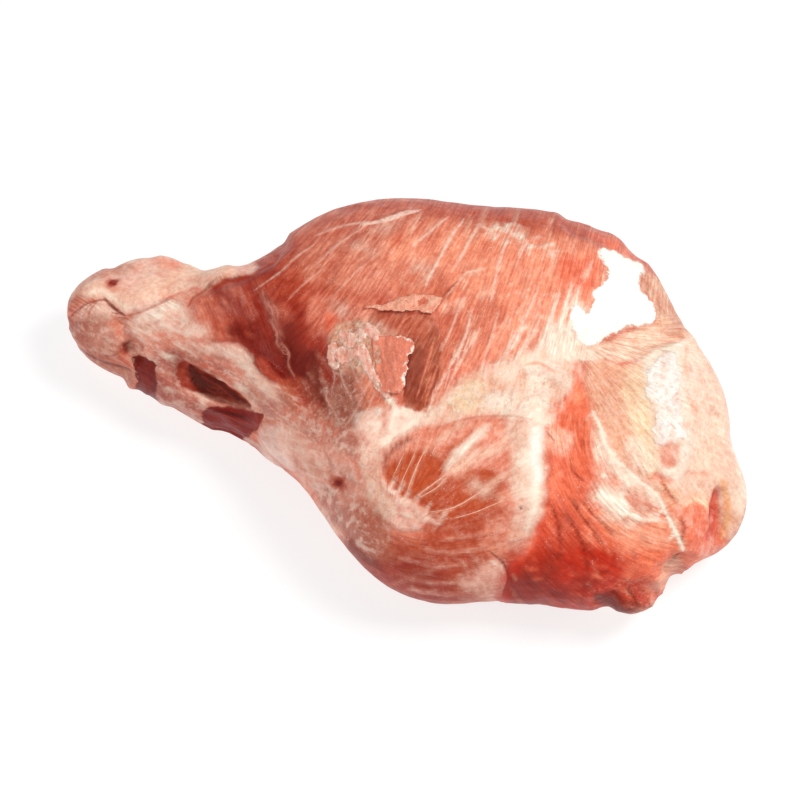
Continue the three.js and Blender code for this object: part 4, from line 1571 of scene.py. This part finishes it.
wrinkled = g.mix(g.times(directed, 0.5), film, wrinkles)
some_fat = g.plus(g.times(fat_here, 0.58), 0.06)
pale_share = g.times(g.between(wrinkled, 0.50, 0.60), some_fat, filmed)
colour = g.blend(pale_share, colour, opaque(FILM_PALE))
deep_share = g.times(g.between(wrinkled, 0.49, 0.40), g.plus(g.times(fat_here, 0.60), 0.20))
colour = g.blend(deep_share, colour, FILM_DEEP, "MULTIPLY")
torn_share = g.times(g.between(torn, 0.45, 0.36), torn_here)
colour = g.blend(torn_share, colour, opaque(TORN_DEEP))
loose_share = g.plus(g.times(torn_here, 0.85), g.times(fat_here, 0.30))
filament_share = g.times(g.between(torn, 0.51, 0.62), loose_share, filmed)
colour = g.blend(filament_share, colour, opaque(FILM_PALE))

# %% Flesh: streaks and painted glints
streak_layer = g.layer("streak_colour")
side, reach, width = g.add("ShaderNodeSeparateXYZ", {
    0: g.layer("streak_place").outputs["Vector"],
}).outputs
uneven = g.times(width, g.spread(film, 0.75, 1.25))
crossing = g.maths("SUBTRACT", g.maths("ABSOLUTE", side), uneven)
in_line = g.between(crossing, 1.3, -1.1)
near_line = g.between(g.maths("SUBTRACT", reach, width), 3.4, 2.4)
broken = g.between(torn, 0.36, 0.52, 0.35, 1.0)
streak_share = g.times(in_line, near_line, broken, streak_layer.outputs["Alpha"])
colour = g.blend(streak_share, colour, streak_layer.outputs["Color"])
# White specks where the film is pale: painted highlights standing for wet glints.
painted_glints = g.times(g.between(specks, 0.66, 0.74), g.between(film, 0.46, 0.60),
              g.plus(g.times(filmed, 0.40), 0.10))
colour = g.blend(painted_glints, colour, opaque(FAT_WHITE))
colour = g.blend(1.0, colour, EVEN, "MULTIPLY")
g.feed(shader.inputs["Base Color"], colour)
print("flesh nodes", len(flesh.node_tree.nodes))

# %% Flesh: gloss and bump
height_mm = g.plus(
    g.times(fibres, grain_here, 1.0),
    g.times(specks, 0.5, 0.3),
    g.times(bands, grain_here, 1.4),
    g.times(wrinkled, g.plus(fat_here, 0.30), 3.0),
    g.times(torn, g.plus(torn_here, 0.16), 3.4),
    g.times(filament_share, 1.0, 0.9),
    g.times(streak_share, 1.0, 0.3),
    g.times(patch_share, 1.0, 0.3),
)
g.feed(shader.inputs["Coat Normal"], g.bump(shader, height_mm, 1.0 / METRE))
g.feed(shader.inputs["Roughness"], g.spread(film, 0.50, 0.36))
settle(shader, {
    "Specular IOR Level": 0.17, "Specular Tint": (1.0, 0.62, 0.52, 1.0),
    "Coat Weight": 0.08, "Coat Roughness": 0.14,
    "Subsurface Weight": 0.10, "Subsurface Radius": (1.0, 0.35, 0.22),
    "Subsurface Scale": 0.003,
})
skin_mesh.materials.clear()
skin_mesh.materials.append(flesh)
skin_mesh.shade_smooth()
print("fatty points", int((surface["fatty"] > 0.5).sum()))


# %% [markdown]
# ## Film and sinew
# Threads of sinew and loose flaps are separate pieces, because they stand off the
# skin. Film is paler and glossier than meat, and streaked along its length.

# %% Film materials
FILM_RELIEF = 0.0024


def film_material(name, pale, deep, rim, contrast=(0.36, 0.64)):
    """A moist film that wanders between two tones and is pale at its torn rim, where the paleness is
    a painted highlight.
    """
    material, graph, film_shader = new_material(name)
    where = graph.add("ShaderNodeTexCoord").outputs["Object"]
    flat = graph.layer("flat").outputs["Vector"]
    lumps = graph.noise(where, (240.0,) * 3, detail=6.0, roughness=0.68)
    strands = graph.noise(flat, (0.55, 0.13, 1.0), detail=4.0)
    grain = graph.noise(where, (900.0,) * 3, detail=2.0)
    both = graph.mix(0.5, lumps, strands)
    tone = graph.blend(graph.between(both, *contrast), opaque(deep), opaque(pale))
    edge = graph.plus(graph.layer("rim").outputs["Fac"], graph.spread(lumps, -0.5, 0.5))
    # Paler towards the torn rim: a painted highlight where the rim would catch the lamp.
    tone = graph.blend(graph.between(edge, 0.35, 0.75), tone, opaque(rim))
    speck = graph.blend(graph.spread(grain, 0.0, 1.0), (0.88, 0.80, 0.77, 1), (1, 1, 1, 1))
    graph.feed(film_shader.inputs["Base Color"], graph.blend(1.0, tone, speck, "MULTIPLY"))
    graph.bump(film_shader, graph.plus(both, graph.times(grain, 0.3)), FILM_RELIEF)
    graph.feed(film_shader.inputs["Roughness"], graph.spread(lumps, 0.34, 0.50))
    settle(film_shader, {
        "Specular IOR Level": 0.2, "Coat Weight": 0.15, "Coat Roughness": 0.15,
        "Subsurface Weight": 0.1, "Subsurface Radius": (1.0, 0.5, 0.35),
        "Subsurface Scale": 0.002,
    })
    return material


sinew_film = film_material("sinew_film", CREAM, LEAN_PINK, TENDON)
shred_film = film_material("shred_film", TENDON, LEAN_PINK, FAT_WHITE)
flap_film = film_material("flap_film", PEACH, LEAN_PINK, CREAM)
tongue_film = film_material("tongue_film", FAN_ORANGE, LEAN_ROSE, FAT_WHITE)
print("films", len(bpy.data.materials))


# %% [markdown]
# ## Threads of sinew
# The threads could be drawn one by one as tubes. Geometry Nodes do it in one go: each
# route arrives as a chain of edges, and the tree resamples it, lets it wander, and
# sweeps a small ring along it that thins towards both ends.

# %% Thread tree
THREAD_INPUTS = {
    "Routes": ("NodeSocketGeometry", None), "Step": ("NodeSocketFloat", 0.0016),
    "Wander": ("NodeSocketFloat", 0.0003), "Facets": ("NodeSocketInt", 7),
    "Finish": ("NodeSocketMaterial", None),
}

thread_tree = bpy.data.node_groups.new("sinew_threads", "GeometryNodeTree")
thread_sockets = {}
for name, (kind, value) in THREAD_INPUTS.items():
    socket = thread_tree.interface.new_socket(name=name, in_out="INPUT", socket_type=kind)
    if value is not None:
        socket.default_value = value
    thread_sockets[name] = socket
thread_tree.interface.new_socket(
    name="Threads", in_out="OUTPUT", socket_type="NodeSocketGeometry"
)
t = Graph(thread_tree)
given = t.add("NodeGroupInput")
curves = t.add("GeometryNodeMeshToCurve", {"Mesh": given.outputs["Routes"]})
spaced = t.add("GeometryNodeResampleCurve", {
    "Curve": curves.outputs[0], "Length": given.outputs["Step"],
}, mode="LENGTH")
swing = t.add("ShaderNodeVectorMath", {
    0: t.wobble(160.0, 1.0), "Scale": given.outputs["Wander"],
}, operation="SCALE")
swaying = t.add("GeometryNodeSetPosition", {
    "Geometry": spaced.outputs[0], "Offset": swing.outputs[0],
})
share = t.add("GeometryNodeSplineParameter").outputs["Factor"]
ends = t.times(share, t.maths("SUBTRACT", 1.0, share))
taper = t.times(t.maths("SQRT", ends), 2.0)
girth = t.add("GeometryNodeInputNamedAttribute", {"Name": "girth"}, data_type="FLOAT")
size = t.times(taper, girth.outputs["Attribute"])
ring = t.add("GeometryNodeCurvePrimitiveCircle", {
    "Resolution": given.outputs["Facets"], "Radius": 1.0,
})
tube = t.add("GeometryNodeCurveToMesh", {
    "Curve": swaying.outputs[0], "Profile Curve": ring.outputs[0],
    "Scale": size, "Fill Caps": True,
})
smooth = t.add("GeometryNodeSetShadeSmooth", {"Geometry": tube.outputs[0]})
real = t.add("GeometryNodeRealizeInstances", {"Geometry": smooth.outputs[0]})
finished = t.add("GeometryNodeSetMaterial", {
    "Geometry": real.outputs[0], "Material": given.outputs["Finish"],
})
t.add("NodeGroupOutput", {"Threads": finished.outputs[0]})
print("thread tree nodes", len(thread_tree.nodes))

# %% Lay the threads on the skin
SINK_SHARE = 0.5


def route_mesh(name, threads):
    """Chains of edges on the skin, each point with its girth."""
    points, edges, girths = [], [], []
    for girth_mm, route in threads:
        last = None
        for spot in smooth_route(route):
            place, way = skin_under(spot)
            if place is None:
                last = None
                continue
            points.append(place - way * girth_mm / METRE * SINK_SHARE)
            girths.append(girth_mm / METRE)
            if last is not None:
                edges.append((last, len(points) - 1))
            last = len(points) - 1
    mesh = bpy.data.meshes.new(name)
    mesh.from_pydata(points, edges, [])
    layer = mesh.attributes.new("girth", "FLOAT", "POINT")
    layer.data.foreach_set("value", girths)
    return mesh


def thread_piece(name, threads, finish):
    """Sinew threads as one plain mesh piece."""
    piece = placed(name, route_mesh(name, threads))
    maker = piece.modifiers.new("threads", "NODES")
    maker.node_group = thread_tree
    maker[thread_sockets["Finish"].identifier] = finish
    mesh = evaluated_mesh(piece, name)
    piece.modifiers.clear()
    piece.data = mesh
    print(name, len(mesh.polygons), "faces")
    return piece


THREAD_SHARE = 0.42
sinew_routes = [(THREAD_SHARE * half_width, route) for half_width, _, route in KNUCKLE_STRANDS]
sinew_threads = thread_piece("sinew_threads", sinew_routes, sinew_film)


# %% [markdown]
# ## Loose flaps
# A flap is a thin closed sheet. Its outline comes from the chart, its points are found
# on the skin by rays from the camera, and a rule says how far each point stands off.
# The sheet is thin at its border and buried a little where it is still attached.

# %% Sheets on the skin
SHEET_GRID = 1.6
SNAP_WITHIN = 2 * SHEET_GRID
KEEP_WITHIN = 0.75 * SHEET_GRID
EDGE_BAND = 4.0
TEAR, TEAR_LUMP = 1.3, 3.5
BROAD_WRINKLE, FINE_WRINKLE, FINE_SHARE = 7.0, 3.5, 0.6
RIM_THICKNESS, MORE_INSIDE = 0.35, 0.65


def ragged_border(outline, seed):
    """A smooth outline with small tears."""
    border = smooth_route(outline, closed=True)
    tear = [cloud(border, TEAR_LUMP, seed + part) for part in (0, 1)]
    return border + TEAR * np.stack(tear, axis=1)


def sheet_lattice(border):
    """Chart points, their depth and the square cells that fill a border."""
    low, high = border.min(axis=0), border.max(axis=0)
    across = np.arange(low[0] - SHEET_GRID, high[0] + 2 * SHEET_GRID, SHEET_GRID)
    down = np.arange(low[1] - SHEET_GRID, high[1] + 2 * SHEET_GRID, SHEET_GRID)
    corners_at = np.array([(x, y) for y in down for x in across])
    depth = depth_inside(corners_at, border)
    for index in np.flatnonzero((depth < 0) & (depth > -SNAP_WITHIN)):
        corners_at[index] = border[np.hypot(*(border - corners_at[index]).T).argmin()]
    wide = len(across)
    cells = []
    for row in range(len(down) - 1):
        for column in range(wide - 1):
            first = row * wide + column
            corners = (first, first + wide, first + wide + 1, first + 1)
            if min(depth[list(corners)]) > -KEEP_WITHIN:
                cells.append(corners)
    return corners_at, np.maximum(depth, 0.0), cells


def add_sheet(form, outline, rule, lit, thickness_mm, wrinkle_mm, seed):
    """One thin closed sheet on the skin, with its chart place and rim share stored."""
    at, depth, cells = sheet_lattice(ragged_border(outline, seed))
    flat, rim = form.verts.layers.float_vector["flat"], form.verts.layers.float["rim"]
    broad, fine = cloud(at, BROAD_WRINKLE, seed), cloud(at, FINE_WRINKLE, seed + 9)
    wrinkle = wrinkle_mm * (broad + FINE_SHARE * fine)
    pair = {}
    for index in sorted({corner for cell in cells for corner in cell}):
        place, way = skin_under(at[index])
        inward = min(depth[index] / EDGE_BAND, 1.0)
        rise = rule(at[index], depth[index]) + wrinkle[index] * inward
        under = rise - thickness_mm * (RIM_THICKNESS + MORE_INSIDE * inward)
        pair[index] = [form.verts.new(place + way * part / METRE) for part in (rise, under)]
        for point in pair[index]:
            point[flat] = (*(at[index] * MM_PER_CHART_UNIT), 0.0)
            point[rim] = (1.0 - inward) * lit(at[index])
    for cell in cells:
        form.faces.new([pair[corner][0] for corner in cell])
        form.faces.new([pair[corner][1] for corner in reversed(cell)])
    other = {top: under for top, under in pair.values()}
    for edge in [edge for edge in form.edges if edge.is_boundary and edge.verts[0] in other]:
        first, second = edge.verts
        form.faces.new([second, first, other[first], other[second]])


def sheet_piece(name, outlines, rule, lit, finish, thickness_mm, wrinkle_mm, seed):
    """Thin closed sheets that lie on the skin, as one piece."""
    form = bmesh.new()
    form.verts.layers.float_vector.new("flat")
    form.verts.layers.float.new("rim")
    for order, outline in enumerate(outlines):
        add_sheet(form, outline, rule, lit, thickness_mm, wrinkle_mm, seed + order)
    bmesh.ops.remove_doubles(form, verts=form.verts, dist=SHEET_WELD)
    bmesh.ops.recalc_face_normals(form, faces=form.faces)
    mesh = bpy.data.meshes.new(name)
    form.to_mesh(mesh)
    form.free()
    mesh.shade_smooth()
    mesh.materials.append(finish)
    print(name, len(mesh.polygons), "faces")
    return placed(name, mesh)


# %% The flaps
ACROSS, DOWN = 0, 1


def lifted(axis, start, end, most):
    """A rule, in millimetres, that lifts a sheet more and more across or down the chart."""
    return lambda spot, depth: 0.3 + most * float(ramp(spot[axis], start, end))


def swollen(spot, depth):
    """A rule that lets a sheet swell where it is widest."""
    return 0.2 + 0.5 * float(ramp(depth, 0.0, 4.0))


def lit_right(spot):
    """How strongly a torn rim gets a painted highlight: more towards the right."""
    return 0.8 * float(ramp(spot[0], 384, 410))


def lit_little(spot):
    """A torn rim with only a little painted highlight."""
    return 0.35


torn_flap = sheet_piece("torn_flap", [
    "365,307 373,305 383,305 393,301 402,297 416,294 431,296 442,297 439,305 432,314 424,313 "
    "413,311 402,311 389,311 378,310",
], lifted(DOWN, 300, 314, 2.0), lit_little, flap_film, thickness_mm=1.2, wrinkle_mm=1.5, seed=41)
tongue = sheet_piece("tongue_flap", [
    "373,338 389,337 402,339 412,343 412,349 407,358 406,374 402,388 399,394 383,391 377,375 "
    "373,357",
], lifted(ACROSS, 376, 410, 3.6), lit_right, tongue_film, thickness_mm=1.6, wrinkle_mm=0.9, seed=42)
film_shreds = sheet_piece("film_shreds", [
    "338,336 344,331 352,333 360,328 368,332 364,340 356,343 350,349 343,345",
    "333,352 342,347 352,350 358,346 362,354 352,360 344,364 336,360",
    "356,346 364,344 370,356 376,372 386,386 392,396 386,399 376,390 366,374 358,358",
    "366,322 374,326 380,334 374,342 366,336 362,328",
    "328,348 334,342 338,350 334,358 340,366 333,370 327,360",
], swollen, lit_little, shred_film, thickness_mm=0.6, wrinkle_mm=1.0, seed=43)


# %% [markdown]
# ## Floor and light
# The leg lies on a pale floor under a large soft lamp from the upper right, with a
# weaker one opposite. The even sky keeps the hollows readable.

# %% Floor
FLOOR_HALF = 3.0
WHITE = (1.0, 1.0, 1.0, 1.0)
floor_mesh = bpy.data.meshes.new("floor")
floor_mesh.from_pydata(
    [(-FLOOR_HALF, -FLOOR_HALF, 0), (FLOOR_HALF, -FLOOR_HALF, 0),
     (FLOOR_HALF, FLOOR_HALF, 0), (-FLOOR_HALF, FLOOR_HALF, 0)],
    [], [(0, 1, 2, 3)],
)
floor_paint, _, floor_shader = new_material("pale_floor")
settle(floor_shader, {
    "Base Color": (0.30, 0.30, 0.30, 1.0), "Roughness": 0.9, "Specular IOR Level": 0.1,
    "Emission Color": WHITE, "Emission Strength": 0.74,
})
floor_mesh.materials.append(floor_paint)
floor = placed("floor", floor_mesh)

# %% Lights
SKY = 0.44
LAMP_REACH = 2.5


def lamp(name, way, power, side):
    """A soft square lamp that points at the leg."""
    data = bpy.data.lights.new(name, "AREA")
    data.energy = power
    data.size = side
    thing = placed(name, data)
    way = Vector(way).normalized()
    thing.location = Vector(AIM_MM / METRE) + way * LAMP_REACH
    thing.rotation_euler = (-way).to_track_quat("-Z", "Y").to_euler()


lamp("key", RIGHT * 0.55 + UP * 0.45 + TOWARDS * 0.8, power=47.0, side=0.9)
lamp("fill", RIGHT * -0.8 - UP * 0.1 + TOWARDS * 0.7, power=17.0, side=1.4)
world = bpy.data.worlds.new("even_sky")
world.use_nodes = True
settle(world.node_tree.nodes["Background"], {"Color": WHITE, "Strength": SKY})
scene.world = world
scene.view_settings.view_transform = "Standard"


# %% [markdown]
# ## One body
# Every piece rides on the one body of the part, and the flesh replaces the CAD solid,
# which is hidden.

# %% Ride on the body
PIECES = [skin, sinew_threads, film_shreds, torn_flap, tongue]
for piece in PIECES:
    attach(piece, "root")
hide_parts(NODE)
